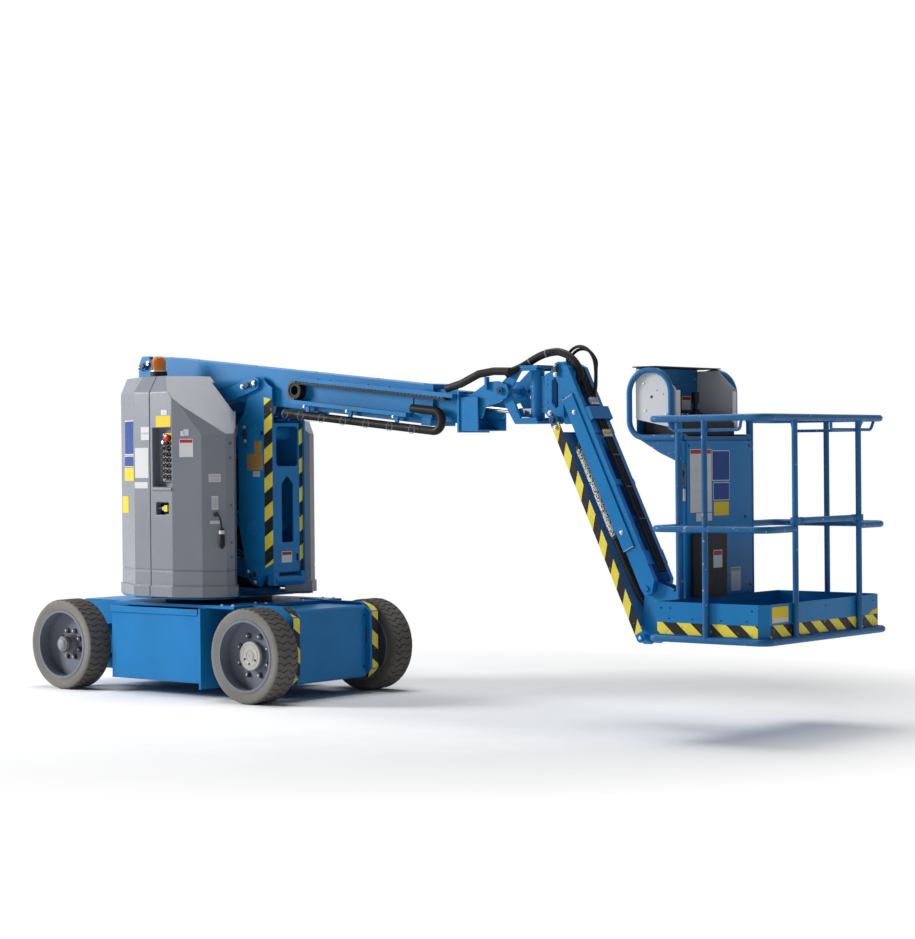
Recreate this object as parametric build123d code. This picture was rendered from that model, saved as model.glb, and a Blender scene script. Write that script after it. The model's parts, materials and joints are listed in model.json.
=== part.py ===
"""Articulating boom lift: narrow electric machine with a folding riser, a telescopic
boom, a rotating jib and a rotating platform.

Millimetres. +X runs from the turntable towards the platform, +Y to the machine's left,
+Z up. The origin is on the floor on the turntable's slew axis. The machine is stowed.
"""

import os
from math import atan2, cos, degrees, hypot, radians, sin

from build123d import *

# ---------------------------------------------------------------- driving dimensions
# wheels
WHEEL_R = 280.0
TYRE_WIDTH = 178.0
RIM_R = 214.0
RIM_WALL = 9.0
WHEEL_X = 800.0
OVERALL_WIDTH = 1190.0
RIM_DISC_DEPTH = 92.0
STUB_R = 34.0
KINGPIN_INSET = 32.0
KINGPIN_R = 20.0
MOTOR_R = 110.0

# chassis
CHASSIS_TOP = 540.0
CHASSIS_BOTTOM = 95.0
SPINE_HALF = 190.0
DRIVE_BOX_X = (385.0, 950.0)
DRIVE_BOX_HALF = 300.0
REAR_BOX_X = (-1060.0, -450.0)
REAR_BOX_HALF = 205.0
DECK_PLATE = 16.0
SLEW_R = 330.0

# battery trays
TRAY_X = (-430.0, 330.0)
TRAY_Y = (205.0, 500.0)
TRAY_Z = (90.0, 528.0)
TRAY_WALL = 5.0
TRAY_HINGE = (356.0, 512.0)
TRAY_PIN_R = 8.0

# turntable covers
COVER_BOTTOM = 602.0
COVER_TOP = 1930.0
COVER_WALL = 8.0
COVER_SPLIT_X = -10.0
DOOR_GAP = 6.0
SKIRT_TOP = 668.0
SKIRT_FLARE = 10.0
GROOVE = (756.0, 766.0, 3.0)  # bottom, top, depth
DOOR_HINGE = (436.0, 320.0)
DOOR_PIN_R = 8.0
HINGE_LEAVES = (720.0, 1080.0, 1420.0)
TABLE_Z = (590.0, 596.0)

# riser: pins in the XZ plane, arms and links
ARM_LENGTH = 940.0
LOWER_SLOPE = -11.0
UPPER_SLOPE = -17.0
MID_LOWER_ARM = (470.0, 730.0)
MID_LOWER_LINK = (440.0, 1010.0)
MID_UPPER_ARM = (460.0, 1585.0)
MID_UPPER_LINK = (480.0, 1880.0)
CHEEK_Y = (131.0, 143.0)
TOWER_Y = (133.0, 149.0)
PIVOT_CHEEK_Y = (111.0, 125.0)
UPPER_LINK_Y = (149.0, 165.0)
ARM_PLATE_Y = (84.0, 104.0)
RISER_PIN_R = 25.0
PIN_PLAY = 0.05
FLOAT = 5.0

# riser cylinder
RISER_FOOT = (-300.0, 665.0)
RISER_EYE_ALONG = 620.0
# boom lift cylinder
LIFT_FOOT = (-350.0, 1668.0)
LIFT_EYE = (800.0, 1676.0)

# boom, in its own frame: s along it from the rear pin, n square to it, upward
BOOM_PIN = (-510.0, 2016.0)
BOOM_PITCH = -6.05
BOOM_TOP = 66.0
BOOM_DEPTH = 222.0
BOOM_HALF = 103.0
BOOM_WALL = 6.0
BOOM_FLOOR = 12.0
PAD_PLAY = 0.5
BOOM_S = (120.0, 2365.0)
EXT_HALF = 84.0
EXT_TOP = 48.0
EXT_DEPTH = 180.0
EXT_S = (560.0, 2600.0)
NOSE_PIN = (2330.0, 1791.0)
NOSE_PIN_R = 20.0

# rotator and jib
ROTATOR_X = 2510.0
ROTATOR_R = 39.0
ROTATOR_Z = (1606.0, 1928.0)
JIB_TOP_PIN = (2720.0, 1890.0)
JIB_LOW_PIN = (2690.0, 1630.0)
JIB_LENGTH = 1300.0
JIB_PITCH = -64.0
JIB_BEAM_Y = (60.0, 91.0)
JIB_BEAM_N = (-32.0, 68.0)
JIB_LINK_Y = (97.0, 104.0)
JIB_PLATE_Y = (38.0, 52.0)
JIB_PIN_R = 16.0
JIB_CYL_KNEE = (2710.0, 1820.0)

# platform
PLATFORM_X = (3665.0, 4340.0)
PLATFORM_HALF = 585.0
PLATFORM_AXIS_X = 3490.0
BOTTOM_RAIL_Z = 512.0
DECK_Z = (528.0, 540.0)
TOE_TOP = 695.0
MID_RAIL_Z = 1060.0
TOP_RAIL_Z = 1610.0
RAIL_R = 17.0
POST_X = 3990.0
FRONT_POST_Y = 310.0
REAR_POST_Y = 335.0
HOOP_Y = 300.0
HOOP_X = (3340.0, 3600.0)
HOOP_Z = (1520.0, 1868.0)
HOOD_LID_X = (3366.0, 3509.0)
HOOD_PLATE_Y = (279.7, 284.7)

os.makedirs("parts", exist_ok=True)


# ---------------------------------------------------------------- helpers
def box(x0, x1, y0, y1, z0, z1):
    """A block between two corners."""
    size = Box(abs(x1 - x0), abs(y1 - y0), abs(z1 - z0))
    return Pos((x0 + x1) / 2, (y0 + y1) / 2, (z0 + z1) / 2) * size


def both(shape):
    """The shape and its mirror image across the machine's middle plane."""
    return [shape, mirror(shape, about=Plane.XZ)]


def side_plate(points, y0, y1, corner=0.0):
    """A plate cut to XZ points, between two Y values."""
    face = Plane.XZ.offset(-max(y0, y1)) * make_face(Polyline(*points, close=True))
    if corner:
        face = fillet(face.vertices(), corner)
    return extrude(face, abs(y1 - y0))


def rod_y(centre, radius, y0, y1):
    """A round bar along Y."""
    bar = Rot(90, 0, 0) * Cylinder(radius, abs(y1 - y0))
    return Pos(centre[0], (y0 + y1) / 2, centre[1]) * bar


def rod_x(x0, x1, y, z, radius):
    """A round bar along X."""
    return Pos((x0 + x1) / 2, y, z) * Rot(0, 90, 0) * Cylinder(radius, abs(x1 - x0))


def rod_z(x, y, z0, z1, radius):
    """A round bar along Z."""
    return Pos(x, y, (z0 + z1) / 2) * Cylinder(radius, abs(z1 - z0))


def rod_between(a, b, radius, y=0.0):
    """A round bar between two XZ points in the plane y."""
    start = Vector(a[0], y, a[1])
    end = Vector(b[0], y, b[1])
    along = end - start
    plane = Plane(origin=start, z_dir=along)
    return plane * Pos(0, 0, along.length / 2) * Cylinder(radius, along.length)


def tube_run(points, radius, corners):
    """A round bar or hose through 3-D points with rounded corners."""
    path = FilletPolyline(*points, radius=corners)
    section = Plane(origin=path @ 0, z_dir=path % 0) * Circle(radius)
    return sweep(section, path=path)


def along(origin, pitch, s, n):
    """The XZ point at s along and n above a member that starts at origin."""
    c, k = cos(radians(pitch)), sin(radians(pitch))
    return (origin[0] + s * c - n * k, origin[1] + s * k + n * c)


def member(origin, pitch, table, y0, y1, corner=0.0):
    """A plate whose outline is given in a member's own s, n frame."""
    points = [along(origin, pitch, s, n) for s, n in table]
    return side_plate(points, y0, y1, corner)


def boom(s, n):
    return along(BOOM_PIN, BOOM_PITCH, s, n)


def jib(s, n):
    return along(JIB_TOP_PIN, JIB_PITCH, s, n)


def strap(a, b, half_depth, y0, y1):
    """A bar with round ends between two XZ points."""
    pitch = degrees(atan2(b[1] - a[1], b[0] - a[0]))
    length = hypot(b[0] - a[0], b[1] - a[1])
    table = [(0, -half_depth), (length, -half_depth), (length, half_depth), (0, half_depth)]
    bar = member(a, pitch, table, y0, y1)
    return bar + rod_y(a, half_depth, y0, y1) + rod_y(b, half_depth, y0, y1)


def union(shapes):
    total = None
    for shape in shapes:
        total = shape if total is None else total + shape
    return total


def save(name, shapes, colour):
    """Write one node, of one or more solids, as a STEP file."""
    solids = []
    for shape in shapes if isinstance(shapes, (list, tuple)) else [shapes]:
        solids.extend(shape.solids())
    part = solids[0] if len(solids) == 1 else Compound(children=solids)
    part.label = name
    part.color = Color(*colour)
    export_step(part, "parts/" + name + ".step")


BLUE = (0.03, 0.30, 0.62)
GREY = (0.42, 0.44, 0.47)
DARK = (0.05, 0.05, 0.06)
STEEL = (0.75, 0.76, 0.78)
RUBBER = (0.33, 0.32, 0.31)
AMBER = (0.95, 0.45, 0.05)
WHITE = (0.85, 0.86, 0.86)

# ---------------------------------------------------------------- wheels
OUTER_Y = OVERALL_WIDTH / 2
INNER_Y = OUTER_Y - TYRE_WIDTH
DISC_Y = OUTER_Y - RIM_DISC_DEPTH
KINGPIN_Y = INNER_Y - KINGPIN_INSET


def tyre(x, side):
    """Solid tyre with a flat tread and rounded shoulders."""
    y0, y1 = -OUTER_Y, -INNER_Y
    points = [
        (RIM_R, y0 + 6), (WHEEL_R - 22, y0), (WHEEL_R - 4, y0 + 8), (WHEEL_R, y0 + 20),
        (WHEEL_R, y1 - 20), (WHEEL_R - 4, y1 - 8), (WHEEL_R - 22, y1), (RIM_R, y1 - 6),
    ]
    ring = revolve(make_face(Polyline(*points, close=True)), Axis.Y)
    ring = Pos(x, 0, WHEEL_R) * ring
    return ring if side < 0 else mirror(ring, about=Plane.XZ)


def rim(x, side, driven):
    """Deep dished rim with its hub; the driven one carries a drum cover."""
    y0, y1 = -OUTER_Y + 4, -INNER_Y - 4
    disc = -DISC_Y
    points = [
        (RIM_R, y0), (RIM_R, y1), (RIM_R - RIM_WALL, y1), (RIM_R - RIM_WALL, disc + 16),
        (60, disc + 16), (60, disc), (RIM_R - RIM_WALL, disc), (RIM_R - 16, y0),
    ]
    shell = revolve(make_face(Polyline(*points, close=True)), Axis.Y)
    if driven:
        hub = Rot(90, 0, 0) * Cylinder(62, 40)
        parts = [shell, Pos(0, disc, 0) * hub]
        cover = Rot(90, 0, 0) * Cylinder(84, 30)
        parts.append(Pos(0, disc - 15, 0) * cover)
        face = Rot(90, 0, 0) * Cylinder(72, 8)
        parts.append(Pos(0, disc - 34, 0) * face)
        studs, pcd, nut = 8, 122.0, 9.0
    else:
        cone = revolve(
            make_face(Polyline((0, disc + 30), (61, disc + 30), (61, disc - 12),
                               (44, disc - 62), (30, disc - 70), (0, disc - 70), close=True)),
            Axis.Y)
        parts = [shell, cone]
        studs, pcd, nut = 8, 86.0, 9.0
    for i in range(studs):
        a = radians(360.0 * i / studs + 20)
        stud = Rot(90, 0, 0) * Cylinder(nut, 14)
        parts.append(Pos(pcd * cos(a), disc - 6, pcd * sin(a)) * stud)
    body = union(parts)
    bore = Rot(90, 0, 0) * Cylinder(STUB_R + PIN_PLAY, 60)
    body = body - Pos(0, disc + 30, 0) * bore
    body = Pos(x, 0, WHEEL_R) * body
    return body if side < 0 else mirror(body, about=Plane.XZ)


for name, x, side, driven in (
    ("front_right", WHEEL_X, -1, True),
    ("front_left", WHEEL_X, 1, True),
    ("rear_right", -WHEEL_X, -1, False),
    ("rear_left", -WHEEL_X, 1, False),
):
    save("tyre_" + name, tyre(x, side), RUBBER)
    save("rim_" + name, rim(x, side, driven), GREY)

# ---------------------------------------------------------------- chassis
spine = box(-460, 400, -SPINE_HALF, SPINE_HALF, CHASSIS_BOTTOM + 20, CHASSIS_TOP)
drive_box = box(*DRIVE_BOX_X, -DRIVE_BOX_HALF, DRIVE_BOX_HALF, CHASSIS_BOTTOM + 5, CHASSIS_TOP - 5)
drive_box = chamfer(drive_box.edges().group_by(Axis.X)[-1].filter_by(Axis.Y), 12)
rear_box = side_plate(
    [(REAR_BOX_X[0], 300), (REAR_BOX_X[0], CHASSIS_TOP - 30), (REAR_BOX_X[0] + 60, CHASSIS_TOP),
     (REAR_BOX_X[1], CHASSIS_TOP), (REAR_BOX_X[1], CHASSIS_BOTTOM + 10), (-900, CHASSIS_BOTTOM + 10)],
    -REAR_BOX_HALF, REAR_BOX_HALF)
deck = box(-440, 600, -470, 470, CHASSIS_TOP - 2, CHASSIS_TOP + DECK_PLATE)
chassis = spine + drive_box + rear_box + deck
CHEEK_OUTER = DRIVE_BOX_HALF + 16
# drive-end side plates: a cheek behind each front wheel and a curved nose in front of it
for side in (-1, 1):
    y0, y1 = side * (DRIVE_BOX_HALF - 1), side * CHEEK_OUTER
    cheek = side_plate(
        [(376, 60), (376, 530), (410, 562), (560, 562), (620, 556), (900, 556), (985, 500),
         (985, 150), (900, 92), (560, 92), (470, 60)], y0, y1, 8.0)
    slot = side_plate([(925, 300), (925, 410), (962, 410), (962, 300)], y0 - 5, y1 + 5, 18.0)
    chassis = chassis + (cheek - slot)
    fence = side_plate([(376, 60), (376, 540), (392, 540), (392, 60)], side * 300, side * 545)
    chassis = chassis + fence
    lip = side_plate([(900, 556), (985, 500), (985, 150), (900, 92), (893, 100), (977, 152),
                      (977, 496), (893, 547)], side * 312, side * 372)
    chassis = chassis + lip
    for z in (160, 470):
        lug = box(TRAY_HINGE[0] - 12, 380, side * (TRAY_HINGE[1] - 12), side * (TRAY_HINGE[1] + 12),
                  z - 24, z - 8)
        chassis = chassis + lug
        lug = box(TRAY_HINGE[0] - 12, 380, side * (TRAY_HINGE[1] - 12), side * (TRAY_HINGE[1] + 12),
                  z + 8, z + 24)
        chassis = chassis + lug
        chassis = chassis + rod_z(TRAY_HINGE[0], side * TRAY_HINGE[1], z - 24, z + 24, TRAY_PIN_R)
    # rear gusset under the deck and the sloped plate at the rear axle
    gusset = side_plate([(-452, CHASSIS_TOP), (-452, 470), (-560, 520), (-560, CHASSIS_TOP)],
                        side * 195, side * 330)
    chassis = chassis + gusset
    # kingpin yokes on the rear axle
    for z0, z1 in ((170, 205), (355, 390)):
        arm = box(-WHEEL_X - 45, -WHEEL_X + 45, side * 200, side * (KINGPIN_Y - 13), z0, z1)
        boss = rod_z(-WHEEL_X, side * KINGPIN_Y, z0, z1, 34)
        hole = rod_z(-WHEEL_X, side * KINGPIN_Y, z0 - 5, z1 + 5, KINGPIN_R + PIN_PLAY)
        chassis = chassis + ((arm + boss) - hole)
save("chassis_frame", chassis, BLUE)

running = [rod_z(0, 0, CHASSIS_TOP + DECK_PLATE, 590, SLEW_R)]
for side in (-1, 1):
    motor = rod_y((WHEEL_X, WHEEL_R), MOTOR_R, side * CHEEK_OUTER, side * (INNER_Y - 3))
    stub = rod_y((WHEEL_X, WHEEL_R), STUB_R, side * (INNER_Y - 10), side * DISC_Y)
    running.append(motor + stub)
save("running_gear", running, DARK)

for side, name in ((-1, "knuckle_right"), (1, "knuckle_left")):
    pin = rod_z(-WHEEL_X, side * KINGPIN_Y, 160, 400, KINGPIN_R)
    inner = KINGPIN_Y - 33
    block = box(-WHEEL_X - 36, -WHEEL_X + 36, side * inner, side * (INNER_Y - 7), 211, 349)
    stub = rod_y((-WHEEL_X, WHEEL_R), STUB_R, side * (INNER_Y - 12), side * (DISC_Y - 8))
    lever = box(-WHEEL_X - 130, -WHEEL_X, side * inner, side * (inner + 24), 214, 232)
    save(name, pin + block + stub + lever, DARK)

# ---------------------------------------------------------------- battery trays
for side, name in ((-1, "right"), (1, "left")):
    y0, y1 = side * TRAY_Y[0], side * TRAY_Y[1]
    outer = box(*TRAY_X, y0, y1, *TRAY_Z)
    inner = box(TRAY_X[0] + TRAY_WALL, TRAY_X[1] - TRAY_WALL, side * (TRAY_Y[0] - 40),
                side * (TRAY_Y[1] - TRAY_WALL), TRAY_Z[0] + 6, TRAY_Z[1] - 5)
    lid = box(TRAY_X[0] - 4, TRAY_X[1], y1, side * (TRAY_Y[1] + 6), TRAY_Z[1] - 16, TRAY_Z[1] + 2)
    shell = (outer - inner) + lid
    for z in (160, 470):
        tab = box(TRAY_X[1] - 2, TRAY_HINGE[0], side * (TRAY_HINGE[1] - 12), side * (TRAY_HINGE[1] + 8),
                  z - 6, z + 6)
        eye = rod_z(TRAY_HINGE[0], side * TRAY_HINGE[1], z - 6, z + 6, 16)
        eye = (tab + eye) - rod_z(TRAY_HINGE[0], side * TRAY_HINGE[1], z - 9, z + 9,
                                  TRAY_PIN_R + PIN_PLAY)
        shell = shell + eye
    save("tray_" + name, shell, BLUE)
    rows = []
    for i in range(4):
        x = TRAY_X[0] + 24 + i * 182.0
        for j in range(2):
            y = TRAY_Y[0] + 18 + j * 134.0
            rows.append(box(x, x + 172, side * y, side * (y + 126), TRAY_Z[0] + 6, 380))
    save("batteries_" + name, rows, DARK)

# ---------------------------------------------------------------- turntable
PLAN = [(-552, 212), (-460, 380), (-150, 560), (178, 560), (358, 487), (457, 384), (472, 330),
        (446, 288), (372, 212)]


def cover_solid(inset, top):
    """The closed form of a side cover, drawn in by inset."""
    plan = make_face(Polyline(*[(x, -y) for x, y in PLAN], close=True))
    if inset:
        plan = offset(plan, -inset, kind=Kind.INTERSECTION)
    body = extrude(Pos(0, 0, COVER_BOTTOM - (5 if inset else 0)) * plan,
                   top - COVER_BOTTOM + (5 if inset else 0))
    cuts = [
        ((0, -560, 1830), (0, -1.0, 0.62)),
        ((-460, -380, 1830), (-0.50, -0.86, 0.62)),
        ((147, -247, 1930), (0.69, -0.22, 0.69)),
        ((358, -487, 1573), (0.72, -0.69, 0.31)),
    ]
    for origin, normal in cuts:
        n = Vector(*normal).normalized()
        at = Vector(*origin) - n * inset
        body = split(body, Plane(origin=at, z_dir=n), keep=Keep.BOTTOM)
    return body


closed = cover_solid(0.0, COVER_TOP)
hollow_block = cover_solid(COVER_WALL / 2, COVER_TOP - COVER_WALL)
hollow = cover_solid(COVER_WALL, COVER_TOP - COVER_WALL)
shell = closed - hollow
shell = shell - box(-600, 372, -230, -190, COVER_BOTTOM - 5, COVER_TOP - 40)
plan = make_face(Polyline(*[(x, -y) for x, y in PLAN], close=True))
flare = offset(plan, SKIRT_FLARE, kind=Kind.INTERSECTION)
skirt = extrude(Pos(0, 0, COVER_BOTTOM) * (flare - offset(plan, -2, kind=Kind.INTERSECTION)),
                SKIRT_TOP - COVER_BOTTOM)
skirt = skirt - box(-700, 372, -236, -180, COVER_BOTTOM - 5, COVER_TOP)
groove = offset(plan, 5, kind=Kind.INTERSECTION) - offset(plan, -GROOVE[2], kind=Kind.INTERSECTION)
shell = shell + skirt
shell = shell - extrude(Pos(0, 0, GROOVE[0]) * groove, GROOVE[1] - GROOVE[0])
rear_half = split(shell, Plane(origin=(COVER_SPLIT_X - DOOR_GAP / 2, 0, 0), z_dir=(1, 0, 0)),
                  keep=Keep.BOTTOM)
door = split(shell, Plane(origin=(COVER_SPLIT_X + DOOR_GAP / 2, 0, 0), z_dir=(1, 0, 0)),
             keep=Keep.TOP)
RECESS_X = (12.0, 176.0)
RECESS_Z = (1262.0, 1618.0)
RECESS_DEPTH = 55.0
WINDOW_X = (40.0, 150.0)
WINDOW_Z = (1095.0, 1170.0)
pocket = box(RECESS_X[0] - 5, RECESS_X[1] + 5, -555, -560 + RECESS_DEPTH + 5, RECESS_Z[0] - 5,
             RECESS_Z[1] + 5)
pocket = pocket - box(*RECESS_X, -580, -560 + RECESS_DEPTH, *RECESS_Z)
ledge = box(RECESS_X[0], RECESS_X[1], -566, -556, RECESS_Z[0] - 22, RECESS_Z[0] - 4)
niche = box(WINDOW_X[0] - 5, WINDOW_X[1] + 5, -555, -520, WINDOW_Z[0] - 5, WINDOW_Z[1] + 5)
niche = niche - box(*WINDOW_X, -580, -526, *WINDOW_Z)
door = door - box(COVER_SPLIT_X - 2, COVER_SPLIT_X + 18, -300, -200, COVER_TOP - 130, COVER_TOP + 10)
plain_door = door
door = door - box(*RECESS_X, -580, -540, *RECESS_Z) - box(*WINDOW_X, -580, -540, *WINDOW_Z)
door = door + pocket + ledge + niche
hx, hy = DOOR_HINGE
for z in HINGE_LEAVES:
    leaf = box(hx, hx + 30, -hy - 14, -hy + 14, z, z + 40) + rod_z(hx, -hy, z, z + 40, 14)
    leaf = leaf & hollow_block
    leaf = leaf - rod_z(hx, -hy, z - 5, z + 45, DOOR_PIN_R + PIN_PLAY)
    door = door + leaf
    plain_door = plain_door + leaf


save("cover_door_right", door, GREY)
save("cover_door_left", mirror(plain_door, about=Plane.XZ), GREY)
save("rear_covers", [rear_half, mirror(rear_half, about=Plane.XZ)], GREY)

panel = box(RECESS_X[0] + 48, RECESS_X[1] - 12, -560 + RECESS_DEPTH - 16, -560 + RECESS_DEPTH,
            RECESS_Z[0] + 30, RECESS_Z[1] - 30)
SWITCHES = [(row, col) for row in range(7) for col in range(3)]
for row, col in SWITCHES:
    knob = Pos(RECESS_X[0] + 72 + col * 32, -530, RECESS_Z[0] + 62 + row * 34)
    panel = panel + knob * Rot(90, 0, 0) * Cylinder(7, 28)
stop = Pos(RECESS_X[0] + 105, -530, RECESS_Z[1] - 62) * Rot(90, 0, 0) * Cylinder(19, 34)
panel = panel + stop
save("ground_controls", panel, DARK)

LOWER_REAR_ARM = along(MID_LOWER_ARM, LOWER_SLOPE, -ARM_LENGTH, 0)
LOWER_REAR_LINK = along(MID_LOWER_LINK, LOWER_SLOPE, -ARM_LENGTH, 0)
UPPER_REAR_ARM = along(MID_UPPER_ARM, -UPPER_SLOPE, -ARM_LENGTH, 0)
UPPER_REAR_LINK = along(MID_UPPER_LINK, -UPPER_SLOPE, -ARM_LENGTH, 0)

table_plan = offset(plan, -COVER_WALL - FLOAT, kind=Kind.INTERSECTION)
rear_plan = plan - Pos(COVER_SPLIT_X + 600, -400) * Rectangle(1200, 900)
table = extrude(Pos(0, 0, TABLE_Z[0]) * table_plan, TABLE_Z[1] - TABLE_Z[0])
rim_plan = rear_plan - offset(plan, -COVER_WALL, kind=Kind.INTERSECTION)
rear_table = extrude(Pos(0, 0, TABLE_Z[0]) * rear_plan, TABLE_Z[1] - TABLE_Z[0])
rear_rim = extrude(Pos(0, 0, TABLE_Z[0]) * rim_plan, COVER_BOTTOM - TABLE_Z[0])
wing = table + rear_table + rear_rim
frame = box(-540, 420, -230, 230, *TABLE_Z) + wing + mirror(wing, about=Plane.XZ)
frame = frame + box(-520, 150, -152, 152, TABLE_Z[0], 622)
for side in (-1, 1):
    frame = frame + rod_z(hx, side * hy, TABLE_Z[0], HINGE_LEAVES[-1] + 44, DOOR_PIN_R)
for side in (-1, 1):
    tower = side_plate(
        [(LOWER_REAR_LINK[0] - 62, 594), (LOWER_REAR_LINK[0] - 62, LOWER_REAR_LINK[1] + 50),
         (LOWER_REAR_LINK[0] + 42, LOWER_REAR_LINK[1] + 50),
         (LOWER_REAR_ARM[0] + 92, LOWER_REAR_LINK[1] - 70),
         (RISER_FOOT[0] + 50, RISER_FOOT[1] - 25), (RISER_FOOT[0] + 50, 594)],
        side * TOWER_Y[0], side * TOWER_Y[1], 20.0)
    frame = frame + tower
    foot = rod_y(RISER_FOOT, 42, side * 52, side * TOWER_Y[1])
    foot = foot + box(RISER_FOOT[0] - 42, RISER_FOOT[0] + 42, side * 52, side * TOWER_Y[1], 600,
                      RISER_FOOT[1])
    frame = frame + foot
frame = frame + rod_y(LOWER_REAR_ARM, RISER_PIN_R, -TOWER_Y[1] - 12, TOWER_Y[1] + 12)
frame = frame + rod_y(LOWER_REAR_LINK, RISER_PIN_R, -TOWER_Y[1] - 12, TOWER_Y[1] + 12)
frame = frame + rod_y(RISER_FOOT, 20, -TOWER_Y[1], TOWER_Y[1])
save("turntable_frame", frame, BLUE)

BALLAST_TOP = 1500.0
BALLAST_FRONT = -160.0
inner_plan = offset(make_face(Polyline(*[(x, -y) for x, y in PLAN], close=True)), -30,
                    kind=Kind.INTERSECTION)
block = extrude(Pos(0, 0, TABLE_Z[1]) * inner_plan, BALLAST_TOP - TABLE_Z[1])
block = block - box(BALLAST_FRONT, 600, -700, 0, 500, 1600)
ballast = both(block)
save("counterweight", ballast, DARK)

BEACON = (-205.0, -298.0)
lamp_base = rod_z(*BEACON, 1918, 1952, 52) + rod_z(*BEACON, 1952, 1962, 46)
lamp = rod_z(*BEACON, 1962.5, 2030, 42) + rod_z(*BEACON, 2030, 2040, 34)
save("beacon_base", Pos(0, 0, 12) * lamp_base, DARK)
save("beacon_lens", Pos(0, 0, 12) * lamp, AMBER)

# ---------------------------------------------------------------- riser
lower = []
for side in (-1, 1):
    bar = strap(LOWER_REAR_ARM, MID_LOWER_ARM, 52, side * ARM_PLATE_Y[0], side * ARM_PLATE_Y[1])
    lower.append(bar)
    eye = along(LOWER_REAR_ARM, LOWER_SLOPE, RISER_EYE_ALONG, 0)
    lower.append(rod_y(eye, 44, side * 52, side * ARM_PLATE_Y[0]))
web = member(LOWER_REAR_ARM, LOWER_SLOPE, [(745, -46), (845, -46), (845, 46), (745, 46)],
             -ARM_PLATE_Y[0], ARM_PLATE_Y[0])
tube_a = rod_y(LOWER_REAR_ARM, 46, -127, 127)
tube_b = rod_y(MID_LOWER_ARM, 46, -125, 125)
lower_arm = union(lower + [web, tube_a, tube_b])
lower_arm = lower_arm - rod_y(LOWER_REAR_ARM, RISER_PIN_R + PIN_PLAY, -200, 200)
lower_arm = lower_arm - rod_y(MID_LOWER_ARM, RISER_PIN_R + PIN_PLAY, -200, 200)
save("lower_arm", lower_arm, BLUE)

lower_link = strap(LOWER_REAR_LINK, MID_LOWER_LINK, 36, -52, 52)
lower_link = lower_link + rod_y(LOWER_REAR_LINK, 38, -127, 127) + rod_y(MID_LOWER_LINK, 38, -125, 125)
lower_link = lower_link - rod_y(LOWER_REAR_LINK, RISER_PIN_R + PIN_PLAY, -200, 200)
lower_link = lower_link - rod_y(MID_LOWER_LINK, RISER_PIN_R + PIN_PLAY, -200, 200)
save("lower_link", lower_link, BLUE)

CHEEK = [(400, 700), (425, 670), (500, 655), (540, 720), (610, 738), (610, 1850), (560, 1880),
         (525, 1912), (480, 1928), (440, 1908), (425, 1860), (372, 1705), (322, 1640),
         (322, 1020), (350, 900)]
cheeks = []
for side in (-1, 1):
    plate = side_plate(CHEEK, side * CHEEK_Y[0], side * CHEEK_Y[1], 6.0)
    cheeks.append(plate)
FRONT_X = (584.0, 594.0)
front = box(*FRONT_X, -CHEEK_Y[0] - 2, CHEEK_Y[0] + 2, 740, 1640)
opening = Plane.YZ.offset(FRONT_X[0] - 5) * Pos(0, 1500) * RectangleRounded(188, 240, 24)
slot = make_face(Polyline((-50, 920), (50, 920), (50, 1275), (0, 1325), (-50, 1275), close=True))
slot = Plane.YZ.offset(FRONT_X[0] - 5) * fillet(slot.vertices(), 14)
front = front - extrude(opening, 20) - extrude(slot, 20)
mid = union(cheeks + [front])
for side in (-1, 1):
    for x, z, r in ((470, 730, 62), (440, 1010, 48), (460, 1585, 50)):
        mid = mid + rod_y((x, z), r, side * (CHEEK_Y[1] - 1), side * (CHEEK_Y[1] + (5 if z > 1100 else 14)))
for point in (MID_LOWER_ARM, MID_LOWER_LINK, MID_UPPER_ARM):
    reach = CHEEK_Y[1] + (5 if point[1] > 1100 else 20)
    mid = mid + rod_y(point, RISER_PIN_R, -reach, reach)
for side in (-1, 1):
    mid = mid + rod_y(MID_UPPER_LINK, RISER_PIN_R, side * (CHEEK_Y[0] + 2), side * 172)
tie = rod_y((590, 690), 30, -118, 118) + box(560, 612, -CHEEK_Y[1] + 1, -96, 664, 745)
tie = tie + box(560, 612, 96, CHEEK_Y[1] - 1, 664, 745)
mid = mid + tie
save("mid_pivot", mid, BLUE)

upper_arm = strap(UPPER_REAR_ARM, MID_UPPER_ARM, 44, -76, 76)
upper_arm = upper_arm + rod_y(UPPER_REAR_ARM, 45, -105, 105) + rod_y(MID_UPPER_ARM, 45, -125, 125)
upper_arm = upper_arm - rod_y(UPPER_REAR_ARM, RISER_PIN_R + PIN_PLAY, -200, 200)
upper_arm = upper_arm - rod_y(MID_UPPER_ARM, RISER_PIN_R + PIN_PLAY, -200, 200)
save("upper_arm", upper_arm, BLUE)

links = []
for side in (-1, 1):
    bar = strap(UPPER_REAR_LINK, MID_UPPER_LINK, 40, side * UPPER_LINK_Y[0], side * UPPER_LINK_Y[1])
    bar = bar - rod_y(UPPER_REAR_LINK, RISER_PIN_R + PIN_PLAY, side * 100, side * 200)
    bar = bar - rod_y(MID_UPPER_LINK, RISER_PIN_R + PIN_PLAY, side * 100, side * 200)
    links.append(bar)
save("upper_links", links, BLUE)

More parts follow.
